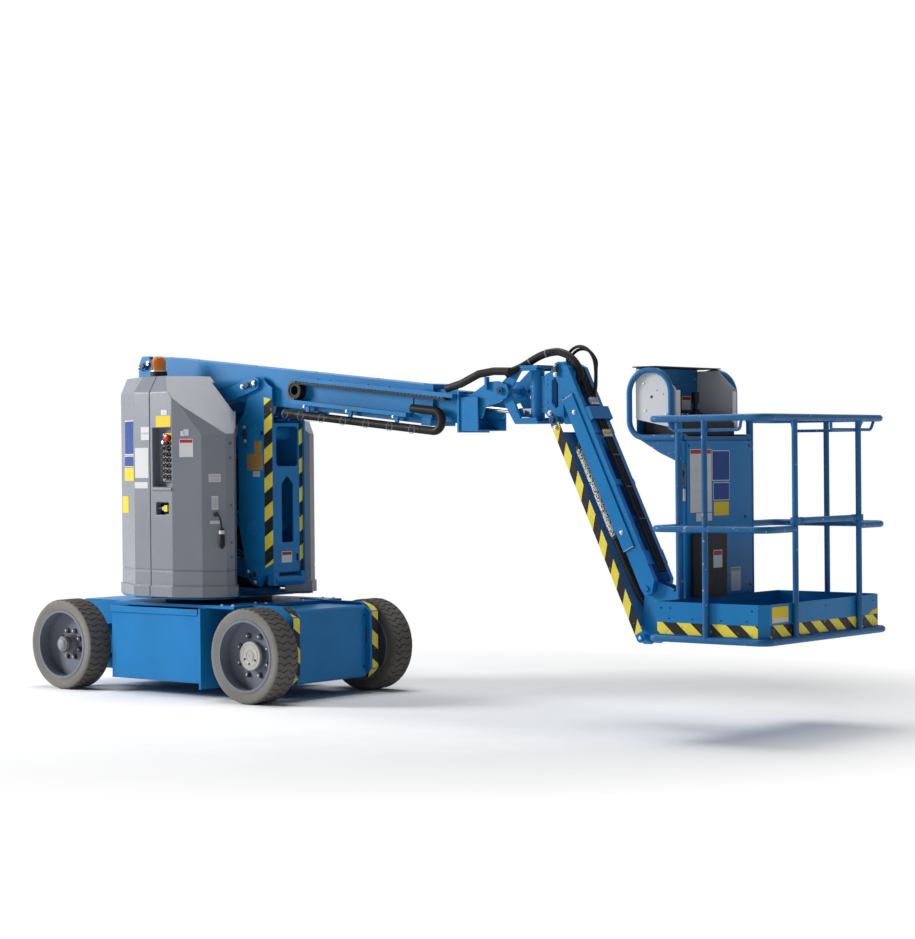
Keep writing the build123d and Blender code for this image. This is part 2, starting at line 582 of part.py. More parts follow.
pivot = []
for side in (-1, 1):
    plate = side_plate(
        [(UPPER_REAR_ARM[0] - 61, UPPER_REAR_ARM[1] - 48),
         (UPPER_REAR_ARM[0] + 39, UPPER_REAR_ARM[1] - 48),
         (LIFT_FOOT[0] + 50, LIFT_FOOT[1] - 68), (LIFT_FOOT[0] + 50, LIFT_FOOT[1] + 44),
         (LIFT_FOOT[0] - 50, LIFT_FOOT[1] + 172), (BOOM_PIN[0] + 62, BOOM_PIN[1]),
         (BOOM_PIN[0] + 30, BOOM_PIN[1] + 60), (BOOM_PIN[0] - 30, BOOM_PIN[1] + 60),
         (BOOM_PIN[0] - 62, BOOM_PIN[1]), (UPPER_REAR_ARM[0] - 121, UPPER_REAR_ARM[1] + 190)],
        side * PIVOT_CHEEK_Y[0], side * PIVOT_CHEEK_Y[1], 14.0)
    pivot.append(plate)
    pivot.append(rod_y(UPPER_REAR_LINK, RISER_PIN_R, side * (PIVOT_CHEEK_Y[0] + 2), side * 172))
    pivot.append(rod_y(UPPER_REAR_LINK, 40, side * PIVOT_CHEEK_Y[0], side * 143))
pivot.append(rod_y(UPPER_REAR_ARM, RISER_PIN_R, -PIVOT_CHEEK_Y[1] - 4, PIVOT_CHEEK_Y[1] + 4))
pivot.append(rod_y(BOOM_PIN, RISER_PIN_R, -PIVOT_CHEEK_Y[1] - 14, PIVOT_CHEEK_Y[1] + 14))
pivot.append(rod_y(LIFT_FOOT, 22, -PIVOT_CHEEK_Y[1] - 4, PIVOT_CHEEK_Y[1] + 4))
back_x, back_z = UPPER_REAR_ARM[0] - 105, UPPER_REAR_ARM[1] + 200
pivot.append(box(back_x, back_x + 16, -PIVOT_CHEEK_Y[0], PIVOT_CHEEK_Y[0], back_z, back_z + 120))
save("boom_pivot", union(pivot), BLUE)

# riser cylinder
RISER_EYE = along(LOWER_REAR_ARM, LOWER_SLOPE, RISER_EYE_ALONG, 0)
RISER_PITCH = degrees(atan2(RISER_EYE[1] - RISER_FOOT[1], RISER_EYE[0] - RISER_FOOT[0]))
RISER_LONG = hypot(RISER_EYE[1] - RISER_FOOT[1], RISER_EYE[0] - RISER_FOOT[0])


def cylinder_pair(foot, pitch, length, barrel_r, rod_r, barrel_end, foot_half, eye_half, eye_r):
    """A hydraulic cylinder: its barrel with a bored foot, and its rod with an eye."""
    a = along(foot, pitch, 30, 0)
    b = along(foot, pitch, barrel_end, 0)
    barrel = rod_between(a, b, barrel_r)
    cap = rod_between(along(foot, pitch, barrel_end - 34, 0), b, barrel_r + 5)
    knuckle = rod_y(foot, eye_r, -foot_half, foot_half)
    barrel = barrel + cap + knuckle
    inside = rod_between(along(foot, pitch, 90, 0), along(foot, pitch, barrel_end + 5, 0),
                         rod_r + PIN_PLAY * 2)
    barrel = barrel - inside
    end = along(foot, pitch, length, 0)
    rod = rod_between(along(foot, pitch, 100, 0), end, rod_r)
    rod = rod + rod_y(end, eye_r, -eye_half, eye_half)
    return barrel, rod


barrel, rod = cylinder_pair(RISER_FOOT, RISER_PITCH, RISER_LONG, 38, 24, RISER_LONG - 62, 46, 46, 38)
barrel = barrel - rod_y(RISER_FOOT, 20 + PIN_PLAY, -60, 60)
save("riser_barrel", barrel, BLUE)
save("riser_rod", rod, STEEL)

LIFT_PITCH = degrees(atan2(LIFT_EYE[1] - LIFT_FOOT[1], LIFT_EYE[0] - LIFT_FOOT[0]))
LIFT_LONG = hypot(LIFT_EYE[1] - LIFT_FOOT[1], LIFT_EYE[0] - LIFT_FOOT[0])
barrel, rod = cylinder_pair(LIFT_FOOT, LIFT_PITCH, LIFT_LONG, 38, 22, 700, 50, 40, 32)
barrel = barrel - rod_y(LIFT_FOOT, 22 + PIN_PLAY, -60, 60)
save("lift_barrel", barrel, BLUE)
save("lift_rod", rod, STEEL)

# ---------------------------------------------------------------- boom
n0, n1 = BOOM_TOP - BOOM_DEPTH, BOOM_TOP


def ring_pad(a, b, half_out, lo_out, hi_out, half_in, lo_in, hi_in):
    """A square ring round or inside a boom tube, from a to b along it."""
    body = member(BOOM_PIN, BOOM_PITCH, [(a, lo_out), (b, lo_out), (b, hi_out), (a, hi_out)],
                  -half_out, half_out)
    hole = member(BOOM_PIN, BOOM_PITCH,
                  [(a - 5, lo_in), (b + 5, lo_in), (b + 5, hi_in), (a - 5, hi_in)], -half_in, half_in)
    return body - hole


s0, s1 = BOOM_S
outer = member(BOOM_PIN, BOOM_PITCH, [(s0, n0 + 60), (s0 + 60, n0), (s1, n0), (s1, n1), (s0, n1)],
               -BOOM_HALF, BOOM_HALF)
inner = member(BOOM_PIN, BOOM_PITCH,
               [(s0 - 5, n0 + BOOM_FLOOR), (s1 + 5, n0 + BOOM_FLOOR), (s1 + 5, n1 - BOOM_WALL),
                (s0 - 5, n1 - BOOM_WALL)],
               -BOOM_HALF + BOOM_WALL, BOOM_HALF - BOOM_WALL)
outer = outer - inner
for side in (-1, 1):
    ear = member(BOOM_PIN, BOOM_PITCH, [(-40, -40), (-40, 40), (0, 62), (320, 62), (320, -100), (60, -100)],
                 side * 84, side * BOOM_HALF, 10.0)
    outer = outer + ear
    lug = member(BOOM_PIN, BOOM_PITCH, [(1200, -152), (1240, -205), (1400, -205), (1440, -152)],
                 side * 46, side * 62)
    outer = outer + lug
pads = ring_pad(s1 - 80, s1 - 2, BOOM_HALF - BOOM_WALL + 2, n0 + BOOM_FLOOR - 2, n1 - BOOM_WALL + 2,
                EXT_HALF + PAD_PLAY, EXT_TOP - EXT_DEPTH - PAD_PLAY, EXT_TOP + PAD_PLAY)
outer = outer + pads
collar = member(BOOM_PIN, BOOM_PITCH, [(s1 - 70, n0 - 8), (s1, n0 - 8), (s1, n1 + 8), (s1 - 70, n1 + 8)],
                -BOOM_HALF - 8, BOOM_HALF + 8)
collar = collar - member(BOOM_PIN, BOOM_PITCH, [(s1 - 80, n0 + 2), (s1 + 5, n0 + 2), (s1 + 5, n1 - 2),
                                               (s1 - 80, n1 - 2)], -BOOM_HALF + 2, BOOM_HALF - 2)
collar = collar - member(BOOM_PIN, BOOM_PITCH, [(s1 - 80, -120), (s1 + 5, -120), (s1 + 5, 40),
                                               (s1 - 80, 40)], -BOOM_HALF, -BOOM_HALF - 20)
outer = outer + collar
outer = outer - rod_y(BOOM_PIN, RISER_PIN_R + PIN_PLAY, -200, 200)
save("boom_outer", outer, BLUE)

# cable track on the boom's right side: two channels and the end of its chain
y_in, y_out = -BOOM_HALF - 0.3, -BOOM_HALF - 62
HOSE_Y = y_in - 30
SLEEVE_R = 24.0
SLEEVE_N = -188.0
SLEEVE_LOOP = 57.0
TRACK = [
    # s0, s1, n0, n1
    (1345.0, 2552.0, 10.0, 32.0),
    (1315.0, 2220.0, -126.0, -102.0),
]
track = []
for a, b, lo, hi in TRACK:
    track.append(member(BOOM_PIN, BOOM_PITCH, [(a, lo), (b, lo), (b, hi), (a, hi)], y_in, y_out))
back = member(BOOM_PIN, BOOM_PITCH, [(1345, -104), (2220, -104), (2220, 12), (1345, 12)], y_in, y_in - 5)
for s in (1420.0, 1760.0, 2120.0):
    track.append(member(BOOM_PIN, BOOM_PITCH,
                        [(s, -124), (s + 22, -124), (s + 22, SLEEVE_N + SLEEVE_R + 0.3),
                         (s, SLEEVE_N + SLEEVE_R + 0.3)], HOSE_Y - 8, HOSE_Y + 8))
track = union(track + [back])
save("cable_track", track, BLUE)

chain = rod_y(boom(1334, -46), 50, y_in - 5.3, y_out + 4)
chain = chain - rod_y(boom(1334, -46), 28, y_in + 5, y_out - 5)
chain = chain + member(BOOM_PIN, BOOM_PITCH, [(1334, -7), (2500, -7), (2500, 3), (1334, 3)],
                       y_in - 5.3, y_out + 4)

route = []
for s, n in ((1240, SLEEVE_N), (2464, SLEEVE_N), (2464, SLEEVE_N + 2 * SLEEVE_LOOP),
             (2236, SLEEVE_N + 2 * SLEEVE_LOOP)):
    x, z = boom(s, n)
    route.append((x, HOSE_Y, z))
sleeve = tube_run(route, SLEEVE_R, [SLEEVE_LOOP - 1, SLEEVE_LOOP - 1])
save("boom_hoses", [sleeve, chain], DARK)

# extension and nose
e0, e1 = EXT_S
bottom = EXT_TOP - EXT_DEPTH
ext = member(BOOM_PIN, BOOM_PITCH, [(e0, bottom), (e1, bottom), (e1, EXT_TOP), (e0, EXT_TOP)],
             -EXT_HALF, EXT_HALF)
ext = ext - member(BOOM_PIN, BOOM_PITCH,
                   [(e0 - 5, bottom + 6), (e1 + 5, bottom + 6), (e1 + 5, EXT_TOP - 6),
                    (e0 - 5, EXT_TOP - 6)], -EXT_HALF + 6, EXT_HALF - 6)
pad = ring_pad(e0, e0 + 90, BOOM_HALF - BOOM_WALL - PAD_PLAY, n0 + BOOM_FLOOR + PAD_PLAY,
               n1 - BOOM_WALL - PAD_PLAY, EXT_HALF - 2, bottom + 2, EXT_TOP - 2)
ext = ext + pad
NOSE_X = (2042.0, 2185.0)
NOSE_Z = (1572.0, 1762.0)
NOSE_HALF = 128.0
flange = box(NOSE_X[0], NOSE_X[0] + 14, -NOSE_HALF - 8, NOSE_HALF + 8, NOSE_Z[0] - 8, 1795)
flange = flange - box(NOSE_X[0] - 5, NOSE_X[0] + 20, -78, 78, 1636, 1778)
nose = box(*NOSE_X, -NOSE_HALF, NOSE_HALF, *NOSE_Z)
nose = nose - box(NOSE_X[0] - 5, NOSE_X[1] + 5, -NOSE_HALF + 8, NOSE_HALF - 8, NOSE_Z[0] + 8, 1850)
nose = nose - box(2132, NOSE_X[1] + 5, -NOSE_HALF + 8, NOSE_HALF - 8, NOSE_Z[0] - 5, NOSE_Z[0] + 20)
ext = ext + flange + nose
for side in (-1, 1):
    ear = side_plate([(2054, 1640), (2054, 1780), (2128, 1780), (2240, 1843), (2310, 1846),
                      (NOSE_PIN[0] + 44, NOSE_PIN[1] + 34), (NOSE_PIN[0] + 56, NOSE_PIN[1]),
                      (NOSE_PIN[0] + 44, NOSE_PIN[1] - 36), (2318, 1730), (2214, 1702), (2190, 1640)],
                     side * 90, side * 106, 8.0)
    ext = ext + ear + box(2054, 2130, side * 78, side * 92, 1650, 1775)
    ext = ext + box(2140, 2180, side * 104, side * (NOSE_HALF - 6), 1660, 1700)
ext = ext + rod_y(NOSE_PIN, NOSE_PIN_R, -118, 118)
ext = ext + box(2232, 2248, -126, -100, 1800, 1870.8)
save("boom_extension", ext, BLUE)

LEVEL_LUG = (2432.0, 1668.0)
LEVEL_LONG = 640.0
ext_dir = BOOM_PITCH
lv_end = LEVEL_LUG
lv_foot = along(lv_end, ext_dir, -LEVEL_LONG, 0)
barrels = []
rods = []
for side in (-1, 1):
    y = side * 34.0
    body = rod_between(lv_foot, along(lv_foot, ext_dir, 350, 0), 22, y)
    body = body - rod_between(along(lv_foot, ext_dir, 20, 0), along(lv_foot, ext_dir, 360, 0), 12.1, y)
    barrels.append(body)
    rods.append(rod_between(along(lv_foot, ext_dir, 24 + 216, 0), along(lv_foot, ext_dir, 632, 0), 12, y))
rods = union(rods + [rod_y(lv_end, 26, -54, 54)])
plate = member(lv_foot, ext_dir, [(190, -60), (216, -60), (216, 40), (190, 40)], -EXT_HALF + 6, EXT_HALF - 6)
level = union(barrels + [plate])
for side in (-1, 1):
    level = level - rod_between(along(lv_foot, ext_dir, 20, 0), along(lv_foot, ext_dir, 360, 0), 12.1,
                                side * 34.0)
save("level_barrels", level, DARK)
save("level_rods", rods, STEEL)

nose_hose = tube_run([(1962, -128, 1812), (2070, -128, 1838), (2190, -122, 1888), (2290, -112, 1901),
                      (2404, -108, 1897)], 22, 60)
save("nose_hoses", nose_hose, DARK)

# ---------------------------------------------------------------- rotator
fork = []
for side in (-1, 1):
    plate = side_plate([(2292, 1768), (2292, 1812), (2316, 1834), (2432, 1928), (2562, 1928),
                        (2562, 1898), (2452, 1898), (2376, 1791), (2448, 1640), (2562, 1640),
                        (2562, 1606), (2412, 1606), (2316, 1752)],
                       side * 66, side * 82)
    fork.append(plate)
fork.append(box(2420, 2572, -84, 84, ROTATOR_Z[0], ROTATOR_Z[0] + 16))
fork.append(box(2440, 2572, -84, 84, ROTATOR_Z[1] - 16, ROTATOR_Z[1]))
fork.append(rod_y(NOSE_PIN, 34, -84, -60) + rod_y(NOSE_PIN, 34, 60, 84))
bracket = union(fork + [rod_z(ROTATOR_X, 0, *ROTATOR_Z, 22)])
bracket = bracket - rod_y(NOSE_PIN, NOSE_PIN_R + PIN_PLAY, -200, 200)
save("nose_bracket", bracket, BLUE)

yoke = rod_z(ROTATOR_X, 0, 1628, 1906, ROTATOR_R)
yoke = yoke + box(ROTATOR_X + 20, 2630, -16, 16, 1664, 1870)
yoke = yoke + box(2606, 2624, -JIB_PLATE_Y[1], JIB_PLATE_Y[1], 1664, 1870)
for side in (-1, 1):
    plate = side_plate([(2600, 1876), (2632, 1886), (2684, 1942), (2748, 1942), (2764, 1890),
                        (2722, 1760), (2728, 1640), (2712, 1602), (2668, 1602), (2612, 1648),
                        (2600, 1664)],
                       side * JIB_PLATE_Y[0], side * JIB_PLATE_Y[1], 8.0)
    window = side_plate([(2646, 1716), (2646, 1842), (2672, 1866), (2690, 1842), (2690, 1700), (2672, 1684)],
                        side * 30, side * 60, 8.0)
    yoke = yoke + (plate - window)
yoke = yoke - rod_z(ROTATOR_X, 0, 1600, 1930, 22 + PIN_PLAY)
for side in (-1, 1):
    yoke = yoke + rod_y(JIB_TOP_PIN, JIB_PIN_R, side * (JIB_PLATE_Y[0] + 1), side * (JIB_BEAM_Y[1] + 8))
    yoke = yoke + rod_y(JIB_LOW_PIN, JIB_PIN_R, side * (JIB_PLATE_Y[0] + 1), side * (JIB_LINK_Y[1] + 8))
save("jib_yoke", yoke, BLUE)

# ---------------------------------------------------------------- jib
JIB_END = along(JIB_TOP_PIN, JIB_PITCH, JIB_LENGTH, 0)
LINK_END = along(JIB_LOW_PIN, JIB_PITCH, JIB_LENGTH, 0)
b0, b1 = JIB_BEAM_N
beams = []
for side in (-1, 1):
    beam = member(JIB_TOP_PIN, JIB_PITCH, [(-38, -20), (-38, 30), (10, b1), (JIB_LENGTH - 20, b1),
                                          (JIB_LENGTH + 34, 24), (JIB_LENGTH + 34, -24),
                                          (JIB_LENGTH - 20, b0), (10, b0)],
                  side * JIB_BEAM_Y[0], side * JIB_BEAM_Y[1], 8.0)
    beams.append(beam)
for a, b in ((328.0, 412.0), (690.0, 720.0), (1110.0, 1190.0)):
    beams.append(member(JIB_TOP_PIN, JIB_PITCH, [(a, 50), (b, 50), (b, b1 + 4), (a, b1 + 4)],
                        -JIB_BEAM_Y[1], JIB_BEAM_Y[1]))
cover = member(JIB_TOP_PIN, JIB_PITCH, [(150, b0 + 4), (760, b0 + 4), (760, b1 - 34), (150, b1 - 34)],
               -JIB_BEAM_Y[1], -JIB_BEAM_Y[1] - 5)
knee = jib(900, 0)
beams.append(rod_y(knee, 14, -70, 70))
jib_beams = union(beams + [cover])
for point in (JIB_TOP_PIN, JIB_END):
    jib_beams = jib_beams - rod_y(point, JIB_PIN_R + PIN_PLAY, -200, 200)
save("jib_beams", jib_beams, BLUE)

c_pitch = degrees(atan2(JIB_CYL_KNEE[1] - knee[1], JIB_CYL_KNEE[0] - knee[0]))
c_long = hypot(JIB_CYL_KNEE[1] - knee[1], JIB_CYL_KNEE[0] - knee[0])
barrel = rod_between(along(knee, c_pitch, 8, 0), along(knee, c_pitch, c_long - 60, 0), 22)
barrel = barrel - rod_between(along(knee, c_pitch, 60, 0), along(knee, c_pitch, c_long - 50, 0), 12.1)
barrel = barrel + rod_y(knee, 26, -44, 44) - rod_y(knee, 14, -60, 60)
rod = rod_between(along(knee, c_pitch, c_long - 560, 0), along(knee, c_pitch, c_long, 0), 12)
rod = rod + rod_y(JIB_CYL_KNEE, 20, -32, 32)
save("jib_barrel", barrel, BLUE)
save("jib_rod", rod, STEEL)

link = []
for side in (-1, 1):
    bar = strap(JIB_LOW_PIN, LINK_END, 27, side * JIB_LINK_Y[0], side * JIB_LINK_Y[1])
    link.append(bar)
link.append(member(JIB_LOW_PIN, JIB_PITCH, [(70, -27), (JIB_LENGTH - 70, -27), (JIB_LENGTH - 70, -20),
                                           (70, -20)], -JIB_LINK_Y[1], JIB_LINK_Y[1]))
link = union(link)
for point in (JIB_LOW_PIN, LINK_END):
    link = link - rod_y(point, JIB_PIN_R + PIN_PLAY, -200, 200)
save("jib_link", link, BLUE)

# ---------------------------------------------------------------- platform mount
mount = []
for side in (-1, 1):
    plate = side_plate([(JIB_END[0] - 34, JIB_END[1]), (JIB_END[0] - 20, JIB_END[1] + 36),
                        (JIB_END[0] + 30, JIB_END[1] + 36), (3440, 720), (3440, 520),
                        (LINK_END[0] + 30, LINK_END[1] - 36), (LINK_END[0] - 20, LINK_END[1] - 36),
                        (LINK_END[0] - 34, LINK_END[1])],
                       side * JIB_PLATE_Y[0], side * JIB_PLATE_Y[1], 8.0)
    mount.append(plate)
    mount.append(rod_y(JIB_END, JIB_PIN_R, side * (JIB_PLATE_Y[0] + 1), side * (JIB_BEAM_Y[1] + 8)))
    mount.append(rod_y(LINK_END, JIB_PIN_R, side * (JIB_PLATE_Y[0] + 1), side * (JIB_LINK_Y[1] + 8)))
mount.append(box(3380, 3460, -JIB_PLATE_Y[1], JIB_PLATE_Y[1], 530, 710))
mount.append(rod_z(PLATFORM_AXIS_X, 0, 510, 730, 58))
mount = union(mount) - rod_z(PLATFORM_AXIS_X, 0, 500, 740, 30 + PIN_PLAY)
save("platform_mount", mount, BLUE)

# ---------------------------------------------------------------- platform
px0, px1 = PLATFORM_X
half = PLATFORM_HALF
deck = box(px0 + 20, px1 - 12, -half + 12, half - 12, *DECK_Z)
toe_plan = make_face(Polyline((px0 + 24, -half + 15), (px1 - 55, -half + 15), (px1 - 15, -half + 60),
                              (px1 - 15, half - 60), (px1 - 55, half - 15), (px0 + 24, half - 15),
                              close=True))
toe = extrude(Pos(0, 0, DECK_Z[0]) * toe_plan, TOE_TOP - DECK_Z[0])
toe = toe - extrude(Pos(0, 0, DECK_Z[1]) * offset(toe_plan, -4, kind=Kind.INTERSECTION), 300)
ring = tube_run([(px0 + 60, -half, BOTTOM_RAIL_Z), (px1, -half, BOTTOM_RAIL_Z), (px1, half, BOTTOM_RAIL_Z),
                 (px0, half, BOTTOM_RAIL_Z), (px0, -half, BOTTOM_RAIL_Z),
                 (px0 + 60.01, -half, BOTTOM_RAIL_Z)], RAIL_R, [55, 55, 30, 30])
floor = toe
for y in (-400, -130, 130, 400):
    floor = floor + box(px0, px1, y - 18, y + 18, BOTTOM_RAIL_Z - 12, DECK_Z[0] + 2)
spindle = rod_z(PLATFORM_AXIS_X, 0, 502, 752, 30)
carry = spindle + rod_z(PLATFORM_AXIS_X, 0, 484, 502, 60)
carry = carry + box(PLATFORM_AXIS_X - 20, px0 + 24, -60, 60, 484, 500)
carry = carry + box(PLATFORM_AXIS_X - 20, px0 + 24, -60, 60, 736, 752)
carry = carry + box(px0 - 30, px0 + 24, -60, 60, 484, 752)
platform_base = floor + carry

rails = [ring]
TOP = TOP_RAIL_Z
top_path = [(px0 - 5, -REAR_POST_Y, TOP), (px0 - 5, -half, TOP), (px1, -half, TOP), (px1, half, TOP),
            (px0 - 5, half, TOP), (px0 - 5, REAR_POST_Y, TOP)]
rails.append(tube_run(top_path, RAIL_R, [60, 70, 70, 60]))
for side in (-1, 1):
    rails.append(tube_run([(px0 + 5, side * REAR_POST_Y, MID_RAIL_Z), (px0 + 5, side * half, MID_RAIL_Z),
                           (px1, side * half, MID_RAIL_Z), (px1, side * FRONT_POST_Y, MID_RAIL_Z)],
                          RAIL_R, [60, 70]))
    rails.append(rod_z(POST_X, side * half, BOTTOM_RAIL_Z, TOP, 15))
    rails.append(rod_z(px1, side * FRONT_POST_Y, BOTTOM_RAIL_Z, TOP, 15))
    rails.append(rod_z(px0 + 5, side * REAR_POST_Y, DECK_Z[1], TOP + 12, 19))
    rails.append(tube_run([(px0 + 110, side * half, TOP), (px0 + 130, side * (half - 10), TOP - 60),
                           (px1 - 150, side * (half - 10), TOP - 60), (px1 - 130, side * half, TOP)],
                          8, 24))
rails.append(tube_run([(px1, 40, TOP), (px1 - 12, 60, TOP - 60), (px1 - 12, 460, TOP - 60),
                       (px1, 480, TOP)], 8, 24))
rails = union(rails)
save("platform_rails", rails, BLUE)
save("platform_floor", platform_base - rails, BLUE)

PANEL_HALF = 305.0
panel = box(px0 + 24, px0 + 34, -PANEL_HALF, PANEL_HALF, TOE_TOP, 1500)
for side in (-1, 1):
    panel = panel + box(px0 - 20, px0 + 30, side * PANEL_HALF, side * (PANEL_HALF - 8), TOE_TOP, 1500)
save("rear_panel", panel, BLUE)

hoops = []
for side in (-1, 1):
    x0, x1 = HOOP_X
    z0, z1 = HOOP_Z
    y = side * HOOP_Y
    hoops.append(tube_run([(x1 + 12, y, z0), (x0, y, z0), (x0, y, z1), (x1, y, z1),
                           (x1, y, z0 + 40)], 15, [90, 120, 120]))
    hoops.append(rod_x(x1 - 10, px0 + 25, y, z0, 15))
tray = side_plate([(HOOP_X[0] + 30, HOOP_Z[0] + 4), (HOOP_X[0] + 180, 1440), (px0 - 2, 1380),
                   (px0 + 24, 1380), (px0 + 24, HOOP_Z[0] + 4)], -288, 288)
tray = tray - side_plate([(HOOP_X[0] + 46, HOOP_Z[0] - 4), (HOOP_X[0] + 186, 1448), (px0 - 6, 1388),
                          (px0 + 14, 1388), (px0 + 14, HOOP_Z[0] - 4)], -280, 280)
back_half = HOOD_PLATE_Y[0] - 0.3
back = box(HOOP_X[0] + 30, HOOP_X[0] + 38, -back_half, back_half, HOOP_Z[0] + 4, HOOP_Z[1] + 14.7)
hood = union(hoops + [tray, back])
save("control_hood", hood, BLUE)

plates = []
for side in (-1, 1):
    plates.append(side_plate([(HOOP_X[0] + 30, HOOP_Z[0] + 96), (HOOP_X[0] + 30, HOOP_Z[1] + 8),
                              (HOOD_LID_X[1], HOOP_Z[1] + 8), (HOOP_X[1] + 18, HOOP_Z[1] - 97),
                              (HOOP_X[1] + 22, HOOP_Z[0] + 44)],
                             side * HOOD_PLATE_Y[0], side * HOOD_PLATE_Y[1], 6.0))
save("hood_side_plates", plates, WHITE)

lid = box(*HOOD_LID_X, -HOOP_Y - 8, HOOP_Y + 8, HOOP_Z[1] + 15, HOOP_Z[1] + 21)
save("hood_lid", lid, DARK)

console = side_plate([(HOOP_X[0] + 60, HOOP_Z[0] + 4), (HOOP_X[0] + 60, 1660), (px0 - 30, 1600),
                      (px0 - 30, HOOP_Z[0] + 4)], -240, 240, 8.0)
joystick = rod_z(3470, 120, 1620, 1720, 12) + rod_z(3470, 120, 1700, 1760, 20)
lever2 = rod_z(3480, -90, 1620, 1690, 9)
save("control_console", console + joystick + lever2, DARK)
save("storage_box", fillet(box(px0 + 34.3, px0 + 130, -290, -60, 700, 1025).edges().filter_by(Axis.Z), 30),
     DARK)

bar = rod_y((px1 - 2, MID_RAIL_Z + 40), 15, -FRONT_POST_Y + 16, FRONT_POST_Y - 16)
for side in (-1, 1):
    ring = rod_z(px1, side * FRONT_POST_Y, MID_RAIL_Z + 24, MID_RAIL_Z + 56, 24)
    bar = bar + (ring - rod_z(px1, side * FRONT_POST_Y, MID_RAIL_Z, MID_RAIL_Z + 90, 15.3))
save("entry_bar", bar, BLUE)

# hoses carried along the jib
HOSE_R = 9.0
JIB_HOSE_N = JIB_BEAM_N[1] + 4 + HOSE_R + 0.3
hoses = []
for y in (-24.0, 0.0, 24.0):
    hoses.append(rod_between(jib(30, JIB_HOSE_N), jib(1240, JIB_HOSE_N), HOSE_R, y))
save("jib_hoses", hoses, DARK)
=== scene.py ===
"""Narrow electric boom lift: looks, small parts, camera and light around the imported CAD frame.

Metres. Every piece is made in the row frame (+X to the platform, +Y left, +Z up), with its
object at the origin, so object coordinates are row coordinates in every shader.
"""

import fnmatch
import json
from math import cos, pi, radians, sin

import bmesh
import bpy
from mathutils import Matrix, Vector, noise

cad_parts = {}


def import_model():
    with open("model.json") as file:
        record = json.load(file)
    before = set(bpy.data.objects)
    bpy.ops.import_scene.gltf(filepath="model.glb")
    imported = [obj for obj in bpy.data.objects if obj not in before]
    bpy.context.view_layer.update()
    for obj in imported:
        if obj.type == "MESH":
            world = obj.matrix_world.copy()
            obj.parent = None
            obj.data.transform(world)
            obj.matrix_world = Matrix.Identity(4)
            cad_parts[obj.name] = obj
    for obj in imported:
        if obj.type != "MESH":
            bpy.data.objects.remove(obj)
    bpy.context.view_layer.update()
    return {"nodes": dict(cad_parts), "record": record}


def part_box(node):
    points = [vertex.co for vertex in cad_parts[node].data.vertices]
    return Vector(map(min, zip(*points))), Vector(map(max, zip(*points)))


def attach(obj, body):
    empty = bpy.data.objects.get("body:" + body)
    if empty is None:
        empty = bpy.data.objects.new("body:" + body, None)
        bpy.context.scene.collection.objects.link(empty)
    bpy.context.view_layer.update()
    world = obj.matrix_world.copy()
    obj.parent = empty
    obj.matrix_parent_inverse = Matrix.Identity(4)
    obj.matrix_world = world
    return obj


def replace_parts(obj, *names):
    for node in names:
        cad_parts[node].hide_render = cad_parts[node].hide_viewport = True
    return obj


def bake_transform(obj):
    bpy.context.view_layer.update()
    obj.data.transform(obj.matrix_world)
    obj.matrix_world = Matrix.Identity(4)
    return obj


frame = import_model()
NODES = frame["nodes"]
JOINTS = frame["record"]["behaviour"]["joints"]
PINS = {joint["name"]: Vector(joint["pos_m"]) for joint in JOINTS if "pos_m" in joint}


# ---------------------------------------------------------------- shaders
SHINE = 0.13  # specular level of worn paint and rubber
COAT_ROUGHNESS = 0.12
RELIEF = 0.002  # depth of the fine bump
PATCHES = 34  # how fine the shiny and dull patches are
DUST = (0.34, 0.31, 0.27)
M = {}


def rgb(r, g, b):
    return (r, g, b, 1)


def placed(name, data):
    """A new object in the scene."""
    obj = bpy.data.objects.new(name, data)
    bpy.context.scene.collection.objects.link(obj)
    return obj


